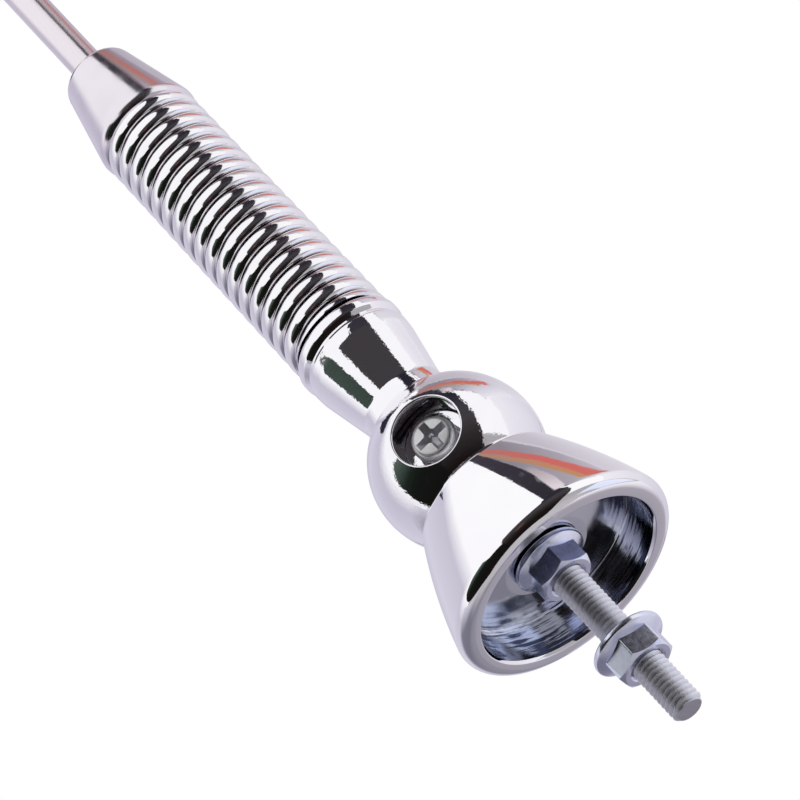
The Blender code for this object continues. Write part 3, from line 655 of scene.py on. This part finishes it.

# %% [markdown]
# Some pieces need a cut or a join as well. The helper cutters are thrown away once the result is
# kept as a plain mesh, so nothing in the scene depends on them. Finishing a piece also hangs it on the
# body that carries it and hides the CAD node that it stands for.
# Edges that turn by more than 32 degrees stay crisp, and all else is shaded smooth.

# %% Cut, join and finish
CRISP_ANGLE = math.radians(32)


def combine(piece, tool, how):
    """Adds a cut or a join to a piece. The result is worked out when the piece is finished."""
    step = piece.modifiers.new(how, "BOOLEAN")
    step.operation = how
    step.solver = "EXACT"
    step.object = tool


def keep(piece):
    """Turns the modifiers into a plain mesh that sits at the origin."""
    bpy.context.view_layer.update()
    graph = bpy.context.evaluated_depsgraph_get()
    mesh = bpy.data.meshes.new_from_object(piece.evaluated_get(graph))
    mesh.transform(piece.matrix_world)
    piece.modifiers.clear()
    piece.data = mesh
    piece.matrix_world = Matrix.Identity(4)
    mesh.shade_smooth()
    mesh.set_sharp_from_angle(angle=CRISP_ANGLE)


def finish(piece, material, body, replaced, tools=()):
    """Keeps a piece, gives it its finish, hangs it on what carries it and hides the node it stands for.
    """
    keep(piece)
    for tool in tools:
        bpy.data.objects.remove(tool, do_unlink=True)
    piece.data.materials.clear()
    piece.data.materials.append(material)
    if body:
        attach(piece, body)
    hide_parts(replaced)
    print(piece.name, sum(len(f.vertices) - 2 for f in piece.data.polygons), "triangles")
    return piece


def second_finish(piece, material, chosen):
    """Gives the faces for which chosen(face) is true a finish of their own."""
    piece.data.materials.append(material)
    faces = [face for face in piece.data.polygons if chosen(face)]
    for face in faces:
        face.material_index = len(piece.data.materials) - 1
    print(piece.name, "shows", material.name, "on", len(faces), "faces")


# %% [markdown]
# The bell is one casting: a long outer curve, a rounded rim that rests on the panel, a recess
# that hides the inner nut and, on top, a seat for the ball. It could be built from rings that are
# bridged, but one closed profile that is turned once can't leave a gap. The rim is rounded by two
# millimetres, and that narrow band carries the bright line that frames the bell.

# %% The bell
EDGE_R = 2.0 * MM
SLOPE = math.radians(14.5)
DOME_R = 98.0 * MM
DOME_TOP = 21.4 * MM
RECESS_R = 17.3 * MM
RECESS_DEPTH = 7.6 * MM
FLOOR_Z = 6.4 * MM
SEAT_R = 8.2 * MM
LEDGE_R = 16.6 * MM
SOCKET_R = 15.6 * MM
LIP_R = 8.9 * MM
LIP_ANGLE = math.degrees(math.asin(LIP_R / SOCKET_R))
SHANK_HOLE_R = 5.0 * MM
HOLE_ANGLE = math.degrees(math.acos(SHANK_HOLE_R / SOCKET_R))

dome_start = (RIM_R - EDGE_R * (1 - math.cos(SLOPE)), EDGE_R * (1 + math.sin(SLOPE)))
dome_centre = (dome_start[0] - DOME_R * math.cos(SLOPE), dome_start[1] - DOME_R * math.sin(SLOPE))
dome_top_angle = math.degrees(math.asin((DOME_TOP - dome_centre[1]) / DOME_R))
dome = arc(*dome_centre, DOME_R, dome_top_angle, math.degrees(SLOPE), 40)
rim = arc(RIM_R - EDGE_R, EDGE_R, EDGE_R, math.degrees(SLOPE), -90, 14)[1:]
socket = arc(0, BALL_Z, SOCKET_R, -HOLE_ANGLE, -LIP_ANGLE, 24)
lip = soften([socket[-1], (socket[-1][0] + 0.3 * MM, socket[-1][1], 0.14 * MM), dome[0]])[1:-1]
inside = soften([
    rim[-1],
    (RECESS_R + 0.35 * MM, 0.0, 0.25 * MM),
    (RECESS_R, 0.6 * MM, 0.3 * MM),
    (RECESS_R, RECESS_DEPTH, 0.1 * MM),
    (LEDGE_R, RECESS_DEPTH, 0.4 * MM),
    ((LEDGE_R + SEAT_R) / 2, FLOOR_Z + 0.42 * MM, 6.0 * MM),
    (SEAT_R, FLOOR_Z, 1.0 * MM),
    (SHANK_HOLE_R, FLOOR_Z, 0.15 * MM),
    socket[0]])[1:-1]
bell = finish(turned("bell_casting", lip + dome + rim + inside + socket, closed=True, steps=224),
              bell_chrome, "base", "bell")

# %% [markdown]
# The wall of the recess and its floor get finishes of their own, and further material slots are
# enough for that. Their faces are found by their place and by where they face: the wall stands
# near the recess radius, between rim and ledge, and the floor faces down inside it. One small
# function does this for every piece that shows more than one finish.

# %% The wall and the floor of the recess
WALL_IN = RECESS_R - 0.4 * MM
WALL_OUT = RECESS_R + 0.3 * MM


def on_wall(face):
    """True for an upright face near the recess radius, between rim and ledge."""
    reach = math.hypot(face.center.x, face.center.y)
    upright = abs(face.normal.z) < 0.5
    return upright and WALL_IN < reach < WALL_OUT and 0.4 * MM < face.center.z < 7.7 * MM


def on_floor(face):
    """True for a face inside the wall that looks down."""
    reach = math.hypot(face.center.x, face.center.y)
    return reach < WALL_IN and face.center.z < 7.9 * MM and face.normal.z < -0.1


second_finish(bell, recess_chrome, on_wall)
second_finish(bell, floor_chrome, on_floor)

# %% [markdown]
# The ball is split in two. Its front half, the neck and the collar under the spring are one
# casting, and the rear half carries the shank that goes down through the bell. Each half must
# clear the other when the swivel turns, so the neck is cut away by a half sphere one gap larger
# than the ball before it joins its own half. The arc of the ball stops a little short of each
# corner, so that the corner's round fits. A profile that crosses itself there, even by a hair,
# would spoil the cuts that follow.

# %% Half balls
SPLIT = 0.15 * MM
SCREW_SEAT = 8.3 * MM
WELL_R = 6.05 * MM
BORE_R = 2.3 * MM
SHORT_OF_WELL = 1.6
SHORT_OF_SPLIT = 0.8


def half_ball(name, well_r, inner):
    """Half of the ball with its crown up, a screw well in the crown and a bore."""
    crown = math.degrees(math.acos(well_r / BALL_R))
    edge = math.degrees(math.asin(SPLIT / BALL_R))
    ball = arc(0, 0, BALL_R, crown - SHORT_OF_WELL, edge + SHORT_OF_SPLIT, 44)
    mouth = soften([ball[0], (well_r, math.sin(math.radians(crown)) * BALL_R, 0.3 * MM),
                    (well_r, SCREW_SEAT)])[1:-1]
    split_edge = soften([ball[-1], (BALL_R, SPLIT, 0.12 * MM), inner[0]])[1:-1]
    seat = soften([(BORE_R, SCREW_SEAT - MM), (BORE_R, SCREW_SEAT, 0.12 * MM),
                   (well_r, SCREW_SEAT, 0.4 * MM), (well_r, SCREW_SEAT + MM)])[1:-1]
    return turned(name, mouth[::-1] + ball + split_edge + inner + seat, closed=True, steps=176)


def relief(name):
    """The half sphere that cuts room for the other half of the ball."""
    low = -SPLIT - 0.1 * MM
    return turned(name, arc(0, 0, SOCKET_R, 90, 0, 48) + [(SOCKET_R, low), (0, low)], steps=128)


def lay(piece, side):
    """Lays a turned piece along the pivot screw, its top to the front (1) or to the back (-1)."""
    piece.location = BALL_CENTRE
    piece.rotation_euler = (side * math.pi / 2, 0, 0)
    return piece


print("the ball is", round(2 * BALL_R / MM, 1), "mm across and split by", round(2 * SPLIT / MM, 2), "mm")

# %% [markdown]
# The neck tapers from the spring down to a slim waist and stands on the ball. Its collar is a
# separate ring to the eye, set off by a groove, and the plug above it holds the spring's first
# coils.

# %% The upper knuckle
SPRING_PLUG = 9.0 * MM
SPRING_PLUG_R = 6.65 * MM
COLLAR_R = 10.5 * MM
COLLAR_TOP = SPRING_LOW - PLAY
COLLAR_LOW = COLLAR_TOP - 3.4 * MM
GROOVE_R = 9.8 * MM
NECK_TOP = COLLAR_LOW - 0.35 * MM
WAIST_R = 8.05 * MM
NECK_FOOT_R = 8.5 * MM
NECK_FOOT_Z = BALL_Z + math.sqrt(BALL_R ** 2 - NECK_FOOT_R ** 2)
INSIDE_BALL_Z = BALL_Z + 11.0 * MM
neck = turned("neck", soften([
    (0, COLLAR_TOP + SPRING_PLUG),
    (SPRING_PLUG_R, COLLAR_TOP + SPRING_PLUG, 0.8 * MM),
    (SPRING_PLUG_R, COLLAR_TOP, 0.2 * MM),
    (COLLAR_R, COLLAR_TOP, 1.3 * MM),
    (COLLAR_R, COLLAR_LOW + 0.9 * MM, 0.8 * MM),
    (GROOVE_R, COLLAR_LOW, 0.1 * MM),
    (GROOVE_R, NECK_TOP, 0.1 * MM),
    (10.22 * MM, NECK_TOP - 0.7 * MM, 0.6 * MM),
    (10.08 * MM, NECK_TOP - 2.9 * MM, 6.0 * MM),
    (WAIST_R, 47.0 * MM, 2.0 * MM),
    (NECK_FOOT_R, NECK_FOOT_Z),
    (NECK_FOOT_R, INSIDE_BALL_Z),
    (0, INSIDE_BALL_Z)], count=8), steps=176)
neck_relief = lay(relief("neck_relief"), -1)
combine(neck, neck_relief, "DIFFERENCE")
front = lay(half_ball("knuckle_front", WELL_R, [(BORE_R, SPLIT)]), 1)
combine(front, neck, "UNION")
finish(front, knuckle_chrome, "knuckle", "upper_knuckle", [neck, neck_relief])

# %% [markdown]
# Hexagons come from a six-sided bar whose long edges are rounded a little. A nut's hexagon is
# what is left where that bar meets a turned, chamfered barrel, which is how the chamfer gets its
# curved outline on each flat.

# %% Hexagonal bars
def hexagon(name, flats, low, high, round_mm=0.15):
    """A six-sided bar, flats wide from side to side, with rounded long edges."""
    shape = bmesh.new()
    radius = flats / math.sqrt(3)
    length = high - low
    bmesh.ops.create_cone(shape, cap_ends=True, segments=6, radius1=radius, radius2=radius,
                          depth=length, matrix=Matrix.Translation((0, 0, (high + low) / 2)))
    long_edges = [e for e in shape.edges if abs(e.verts[0].co.z - e.verts[1].co.z) > length / 2]
    bmesh.ops.bevel(shape, geom=long_edges, offset=round_mm * MM, segments=4, profile=0.5,
                    affect="EDGES")
    return mesh_piece(name, shape)


print("a bar 9.2 mm over its flats is", round(9.2 * 2 / math.sqrt(3), 2), "mm over its corners")

# %% [markdown]
# The rear half of the ball has a pocket that keeps the pivot nut from turning, a shallow round
# hollow for the friction washer, and a shank with a blind hole for the stud.

# %% The lower knuckle
DISC_R = 8.9 * MM
DISC_DEPTH = 1.3 * MM
SHANK_R = 4.7 * MM
SHANK_TOP = 20.1 * MM
SHANK_FOOT = FLOOR_Z + PLAY
STUD_HOLE_R = 3.25 * MM
rear = lay(half_ball("knuckle_rear", 3.45 * MM, [
    (DISC_R, SPLIT), (DISC_R, SPLIT + DISC_DEPTH), (BORE_R, SPLIT + DISC_DEPTH)]), -1)
pocket = lay(hexagon("nut_pocket", 7.6 * MM, SCREW_SEAT, 15.6 * MM), -1)
combine(rear, pocket, "DIFFERENCE")
shank = turned("shank", soften([
    (0, SHANK_TOP), (SHANK_R, SHANK_TOP), (SHANK_R, SHANK_FOOT, 0.3 * MM),
    (STUD_HOLE_R, SHANK_FOOT), (STUD_HOLE_R, STUD_TOP + PLAY), (0, STUD_TOP + PLAY)]), steps=128)
shank_relief = lay(relief("shank_relief"), 1)
combine(shank, shank_relief, "DIFFERENCE")
combine(rear, shank, "UNION")
finish(rear, knuckle_chrome, "base", "lower_knuckle", [pocket, shank, shank_relief])

# %% [markdown]
# The pivot screw has a pan head with a cross recess. A real recess isn't a plain cross: its wings
# get shorter and narrower the deeper they go, so each pair of wings here is pressed by a wedge.
# A third wedge, turned by 45 degrees, opens the centre. The faces it leaves get the duller zinc.

# %% The pivot screw
def wedge(name, long, wide, deep, turn):
    """A bar that gets smaller downwards, used to press one pair of wings into the head.
    Its top stands a little above the head, so it is slightly larger there than the wings."""
    shape = bmesh.new()
    bmesh.ops.create_cube(shape, size=2.0)
    for vertex in shape.verts:
        low = vertex.co.z < 0
        vertex.co.x *= long / 2 * (0.42 if low else 1.04)
        vertex.co.y *= wide / 2 * (0.5 if low else 1.05)
        vertex.co.z = -deep if low else 0.2 * MM
    shape.transform(Matrix.Rotation(turn, 4, "Z"))
    return mesh_piece(name, shape)


WASHER_LOW = SCREW_SEAT + PLAY
HEAD_LOW = WASHER_LOW + 1.1 * MM
HEAD_TOP = HEAD_LOW + 2.1 * MM
HEAD_R = 4.05 * MM
SCREW_R = 2.0 * MM
SCREW_END = HEAD_LOW - 22 * MM
screw = lay(turned("cross_recess_screw", soften([
    (0, HEAD_TOP), (3.5 * MM, HEAD_TOP - 0.15 * MM, 1.2 * MM),
    (HEAD_R, HEAD_LOW + 0.9 * MM, 0.6 * MM), (HEAD_R, HEAD_LOW, 0.15 * MM),
    (SCREW_R, HEAD_LOW), (SCREW_R, SCREW_END, 0.3 * MM), (0, SCREW_END)]), steps=96), 1)
WING = (6.3 * MM, 1.5 * MM, 1.6 * MM)
CENTRE = (2.7 * MM, 2.7 * MM, 1.9 * MM)
tools = [wedge("wing_a", *WING, 0.0), wedge("wing_b", *WING, math.pi / 2),
         wedge("centre", *CENTRE, math.pi / 4)]
for tool in tools:
    tool.location = BALL_CENTRE + Vector((0, -HEAD_TOP, 0))
    tool.rotation_euler = (math.pi / 2, 0, 0)
    combine(screw, tool, "DIFFERENCE")
finish(screw, screw_zinc, "base", "pivot_screw", tools)


def in_recess(face):
    """True between the head's face and the floor of the recess, within the reach of the wings."""
    depth = HEAD_TOP + face.center.y
    reach = math.hypot(face.center.x, face.center.z - BALL_Z)
    return 0.2 * MM < depth < 2.0 * MM and reach < 3.45 * MM and face.center.y < 0


second_finish(screw, slot_zinc, in_recess)

# %% [markdown]
# Under the screw's head lies a split lock washer, and at the other end of the screw a plain hex
# nut sits in its pocket. The washer's slit runs slantwise, because its two ends bite like a pair
# of teeth, so a leaning block cuts it. The nut's barrel is a turned ring whose corners are cut
# back, and the bar leaves only the hexagon of it.

# %% The lock washer and the pivot nut
WASHER_TOP = WASHER_LOW + 0.8 * MM
SLIT_HALF = (1.6 * MM, 0.35 * MM, 0.9 * MM)
washer = lay(turned("split_lock_washer", soften([
    (3.7 * MM, WASHER_TOP, 0.12 * MM), (3.7 * MM, WASHER_LOW, 0.12 * MM),
    (2.3 * MM, WASHER_LOW, 0.12 * MM), (2.3 * MM, WASHER_TOP, 0.12 * MM)], closed=True),
    closed=True, steps=96), 1)
slit = wedge("slit", 3.0 * MM, 0.7 * MM, 0.5 * MM, 0.0)
for vertex in slit.data.vertices:
    vertex.co = Vector([math.copysign(half, place) for half, place in zip(SLIT_HALF, vertex.co)])
slit.location = BALL_CENTRE + Vector((3.0 * MM, -WASHER_LOW - 0.4 * MM, 0))
slit.rotation_euler = (math.pi / 2 + math.radians(15), 0, 0)
combine(washer, slit, "DIFFERENCE")
finish(washer, nut_zinc, "base", "pivot_lock_washer", [slit])

NUT_LOW = SCREW_SEAT + PLAY
barrel = soften([(3.5 * MM, NUT_LOW + 3.2 * MM, 0.1 * MM), (4.3 * MM, NUT_LOW + 2.75 * MM),
                 (4.3 * MM, NUT_LOW + 0.45 * MM), (3.5 * MM, NUT_LOW, 0.1 * MM), (2.3 * MM, NUT_LOW),
                 (2.05 * MM, NUT_LOW + 0.3 * MM), (2.05 * MM, NUT_LOW + 2.9 * MM),
                 (2.3 * MM, NUT_LOW + 3.2 * MM)], closed=True)
nut = lay(turned("pivot_hex_nut", barrel, closed=True, steps=96), -1)
bar = lay(hexagon("pivot_bar", 7.0 * MM, NUT_LOW - MM, NUT_LOW + 4.2 * MM, 0.1), -1)
combine(nut, bar, "INTERSECT")
finish(nut, nut_zinc, "base", "pivot_nut", [bar])

# %% [markdown]
# The two nuts on the stud are flange nuts: a hexagon and a washer forged in one piece. Their
# flanges face the bell. The underside of the hexagon is chamfered, and the bore has a small
# countersink where the thread starts.

# %% The flange nuts
STUD_R = 2.95 * MM
NUT_FLATS = 9.2 * MM
NUT_HEIGHT = 5.8 * MM
FLANGE_R = 6.6 * MM


def flange_nut(name, top, turn, body, replaced):
    """A nut whose flange ends at the height top. Its hexagon is turned by some degrees."""
    low = top - NUT_HEIGHT
    corner = NUT_FLATS / math.sqrt(3)
    bore = STUD_R + 0.07 * MM
    hexed = turned(name + "_barrel", soften([
        (corner * 1.05, top - 0.6 * MM), (corner * 1.05, low + 0.8 * MM), (4.4 * MM, low, 0.12 * MM),
        (3.45 * MM, low, 0.08 * MM), (bore, low + 0.4 * MM, 0.05 * MM), (bore, top - 0.6 * MM)],
        closed=True), closed=True, steps=120)
    bar = hexagon(name + "_bar", NUT_FLATS, low - MM, top - 0.45 * MM, 0.16)
    bar.rotation_euler = (0, 0, math.radians(turn))
    combine(hexed, bar, "INTERSECT")
    nut = turned(name, soften([
        (bore, top - 0.3 * MM), (3.3 * MM, top, 0.1 * MM), (FLANGE_R, top, 0.42 * MM),
        (FLANGE_R, top - 1.1 * MM, 0.42 * MM), (4.2 * MM, top - 2.0 * MM), (bore, top - 2.0 * MM)],
        closed=True), closed=True)
    combine(nut, hexed, "UNION")
    finish(nut, nut_zinc, body, replaced, [hexed, bar])


flange_nut("inner_flange_nut", FLOOR_Z - PLAY, 15, "base", "bell_nut")
flange_nut("outer_flange_nut", -14.9 * MM, -4.5, "clamp_nut", "mounting_nut")

# %% [markdown]
# The stud carries a real M6 thread with a pitch of one millimetre. The grid of its mesh follows
# the helix: going once round, each row has climbed one pitch and meets the row that lies one
# turn further on. So crest and root stay crisp with only six rows to a turn. Past both ends the
# rows are pressed flat onto the end faces, which then close the mesh.

# %% The threaded stud
PITCH = 1.0 * MM
THREAD = [(0.00, 2.90), (0.08, 2.95), (0.16, 2.90), (0.42, 2.46), (0.54, 2.41), (0.66, 2.46)]
AROUND = 72
END_R = 2.25 * MM


def thread_point(row, column):
    """A point of the helix: THREAD gives the share of the pitch and the radius in mm of each row."""
    turn, step = divmod(row, len(THREAD))
    share, radius = THREAD[step]
    height = STUD_LOW - 2 * PITCH + PITCH * (turn + share + column / AROUND)
    height = max(STUD_LOW, min(STUD_TOP, height))
    chamfer = END_R + min(height - STUD_LOW, STUD_TOP - height)
    reach = min(radius * MM, chamfer)
    angle = 2 * math.pi * column / AROUND
    return Vector((reach * math.cos(angle), reach * math.sin(angle), height))


turns = math.ceil((STUD_TOP - STUD_LOW) / PITCH) + 4
rows = turns * len(THREAD)
shape = bmesh.new()
grid = [[shape.verts.new(thread_point(row, column)) for column in range(AROUND)]
        for row in range(rows)]
for row in range(rows - 1 - len(THREAD)):
    for column in range(AROUND):
        next_row, next_column = row, column + 1
        if next_column == AROUND:
            next_row, next_column = row + len(THREAD), 0
        shape.faces.new([grid[row][column], grid[next_row][next_column],
                         grid[next_row + 1][next_column], grid[row + 1][column]])
bmesh.ops.remove_doubles(shape, verts=shape.verts, dist=0.002 * MM)
bmesh.ops.dissolve_degenerate(shape, edges=shape.edges, dist=0.001 * MM)
bmesh.ops.delete(shape, geom=[v for v in shape.verts if not v.link_faces], context="VERTS")
bmesh.ops.holes_fill(shape, edges=[e for e in shape.edges if e.is_boundary], sides=0)
bmesh.ops.recalc_face_normals(shape, faces=shape.faces)
stud = mesh_piece("threaded_stud", shape)
finish(stud, thread_zinc, "base", "mounting_stud")


def on_end(face):
    """True for the two level faces at the ends of the stud."""
    return abs(face.normal.z) > 0.98


second_finish(stud, cut_zinc, on_end)

# %% [markdown]
# The spring is wound close, to the right, from round wire. It could be a curve with a bevel, but
# here the tube is laid out point by point, so that both ends can be ground flat in the same go:
# whatever would stick out past the ground plane is set down on it. Tight winding presses the wire
# a little squarer than a circle, and the power that is called SQUARE says how much: 2 would be
# round. That widens the bright lens on each coil. COIL_START turns the whole helix until its coils
# lie where the photograph shows them. No body carries the spring. Each point also notes how deep it lies
# between the coils,
# for the painted shade there.

# %% The coil spring
WIRE_R = 1.65 * MM
COIL_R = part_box("coil_spring")[1].x - WIRE_R
COIL_PITCH = 3.63 * MM
A_TURN = 84
ROUND_WIRE = 20
SQUARE = 2.7
COIL_START = math.radians(-169)
start_z = SPRING_LOW - 0.5 * WIRE_R
coils = (SPRING_TOP - SPRING_LOW + WIRE_R) / COIL_PITCH
stations = round(coils * A_TURN)
shape = bmesh.new()
between = shape.verts.layers.float.new(SHADE_LAYER)
rings = []
lean = math.atan2(COIL_PITCH, 2 * math.pi * COIL_R)
for i in range(stations + 1):
    angle = COIL_START + 2 * math.pi * coils * i / stations
    outward = Vector((math.cos(angle), math.sin(angle), 0))
    onward = Vector((-math.sin(angle) * math.cos(lean), math.cos(angle) * math.cos(lean), math.sin(lean)))
    upward = outward.cross(onward)
    centre = outward * COIL_R + Vector((0, 0, start_z + COIL_PITCH * coils * i / stations))
    ring = []
    for k in range(ROUND_WIRE):
        swing = 2 * math.pi * k / ROUND_WIRE
        c, s = math.cos(swing), math.sin(swing)
        squarer = (abs(c) ** SQUARE + abs(s) ** SQUARE) ** (-1 / SQUARE)
        point = centre + (outward * c + upward * s) * WIRE_R * squarer
        point.z = max(SPRING_LOW, min(SPRING_TOP, point.z))
        ring.append(shape.verts.new(point))
        # How far this point faces in between the coils; it sets the painted shade there.
        ring[-1][between] = max(0.0, min(1.0, (0.5 - math.cos(swing)) / 0.3))
    rings.append(ring)
for a, b in zip(rings, rings[1:]):
    for k in range(ROUND_WIRE):
        shape.faces.new([a[k], a[(k + 1) % ROUND_WIRE], b[(k + 1) % ROUND_WIRE], b[k]])
shape.faces.new(list(reversed(rings[0])))
shape.faces.new(rings[-1])
bmesh.ops.recalc_face_normals(shape, faces=shape.faces)
spring = mesh_piece("close_wound_spring", shape)
finish(spring, wire_chrome, None, "coil_spring")
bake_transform(spring)
print("coils:", round(coils, 2))

# %% [markdown]
# The ferrule is a turned cone with a rounded shoulder. Its surface is a little duller than the
# ball's, so what it mirrors has soft edges. It has a plug for the spring below, a deep socket for
# the mast above, and a smaller hole in the socket's floor for the mast's plug.

# %% The ferrule
SOCKET_FLOOR = FERRULE_TOP - 12.5 * MM
HOLE_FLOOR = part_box("mast_tube_1")[0].z - 9.3 * MM
PLUG_FOOT = FERRULE_LOW - SPRING_PLUG
TUBE_HOLE_R = 3.28 * MM
PLUG_HOLE_R = 2.2 * MM
ferrule = turned("mast_ferrule", soften([
    (0, HOLE_FLOOR), (PLUG_HOLE_R, HOLE_FLOOR), (PLUG_HOLE_R, SOCKET_FLOOR),
    (TUBE_HOLE_R, SOCKET_FLOOR), (TUBE_HOLE_R, FERRULE_TOP, 0.12 * MM),
    (6.9 * MM, FERRULE_TOP, 1.9 * MM), (10.8 * MM, FERRULE_LOW, 2.0 * MM),
    (SPRING_PLUG_R, FERRULE_LOW, 0.1 * MM), (SPRING_PLUG_R, PLUG_FOOT, 0.8 * MM),
    (0, PLUG_FOOT)], count=8), steps=192)
finish(ferrule, ferrule_chrome, "mast", "ferrule")

# %% [markdown]
# Four tubes and a rod make the mast. Each tube's mouth is rolled in over the next one, which
# stops its bead from coming out. The inner sections only show for a few millimetres when the
# mast is closed, and all of their length when it is open.

# %% The mast sections
MAST_R = 3.2 * MM
TUBE_WALL = 0.25 * MM
STEP_IN = 0.56 * MM
BEAD_HEIGHT = 0.5 * MM
SLEEVE_SPACE = 6.16 * MM
SECTIONS = [("mast", "mast_tube_1"), ("section_2", "mast_tube_2"), ("section_3", "mast_tube_3"),
            ("section_4", "mast_tube_4")]


def foot(radius, low):
    """A flared foot and a rolled bead with room for the friction sleeve between them."""
    out = radius + 0.19 * MM
    flare = low + BEAD_HEIGHT
    bead = flare + SLEEVE_SPACE
    return soften([(radius, bead + BEAD_HEIGHT), (out, bead + 0.34 * MM, 0.06 * MM),
                   (out, bead, 0.06 * MM), (radius, bead), (radius, flare),
                   (out, flare, 0.06 * MM), (out, low, 0.06 * MM), (radius - 0.05 * MM, low)],
                  count=3)


for index, (body, node) in enumerate(SECTIONS):
    low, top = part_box(node)[0].z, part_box(node)[1].z
    neck_z, shoulder_z = top - 2.0 * MM, top - 3.5 * MM
    outer = MAST_R - index * STEP_IN
    mouth = outer - STEP_IN + 0.08 * MM
    rolled = [(mouth, top, 0.08 * MM), (mouth + TUBE_WALL, top, 0.1 * MM),
              (mouth + TUBE_WALL, neck_z, 0.8 * MM), (outer, shoulder_z, 1.5 * MM)]
    end = [(outer, low)] if index == 0 else foot(outer, low)
    bore = [(outer - TUBE_WALL, low), (outer - TUBE_WALL, shoulder_z), (mouth, neck_z)]
    tube = turned("nickel_tube_" + str(index + 1), soften(rolled + end + bore, closed=True),
                  closed=True, steps=96)
    finish(tube, tube_nickel, body, node)

rod_low, rod_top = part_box("mast_tip_rod")[0].z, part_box("mast_tip_rod")[1].z
rod_r = MAST_R - len(SECTIONS) * STEP_IN
rod = turned("nickel_rod", [(0, rod_top), (rod_r, rod_top)] + foot(rod_r, rod_low) + [(0, rod_low)],
             steps=64)
finish(rod, tube_nickel, "tip", "mast_tip_rod")

# %% [markdown]
# A small turned knob is pressed onto the rod. It is what the fingers pull, so its edges are well
# rounded, and it is wider than the mast's mouths, so the sections can't slip in too far.

# %% The tip knob
KNOB_R = 3.3 * MM
knob_low, knob_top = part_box("tip_knob")[0].z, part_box("tip_knob")[1].z
hole_r, hole_top = rod_r + 0.08 * MM, knob_low + 5.08 * MM
knob = turned("mast_tip_knob", soften([
    (0, knob_top), (KNOB_R, knob_top, 2.2 * MM), (KNOB_R, knob_low, 0.6 * MM),
    (hole_r, knob_low, 0.08 * MM), (hole_r, hole_top), (0, hole_top)], count=10), steps=96)
finish(knob, ferrule_chrome, "tip", "tip_knob")

# %% [markdown]
# The pieces that stay as the model has them are small and sit inside: the brass plug, the four
# friction sleeves and the acetal washer. They only need their finish.

# %% The pieces that stay
kept = {"friction_washer": acetal, "mast_base_plug": turned_brass}
for number in range(2, 6):
    kept["friction_sleeve_" + str(number)] = turned_brass
for name, material in kept.items():
    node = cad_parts[name]
    node.data.materials.clear()
    node.data.materials.append(material)
print("kept nodes:", sorted(kept))

# %% [markdown]
# Last, the box of the visual model is measured.

# %% Measure the sizes and finish
low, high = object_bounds()
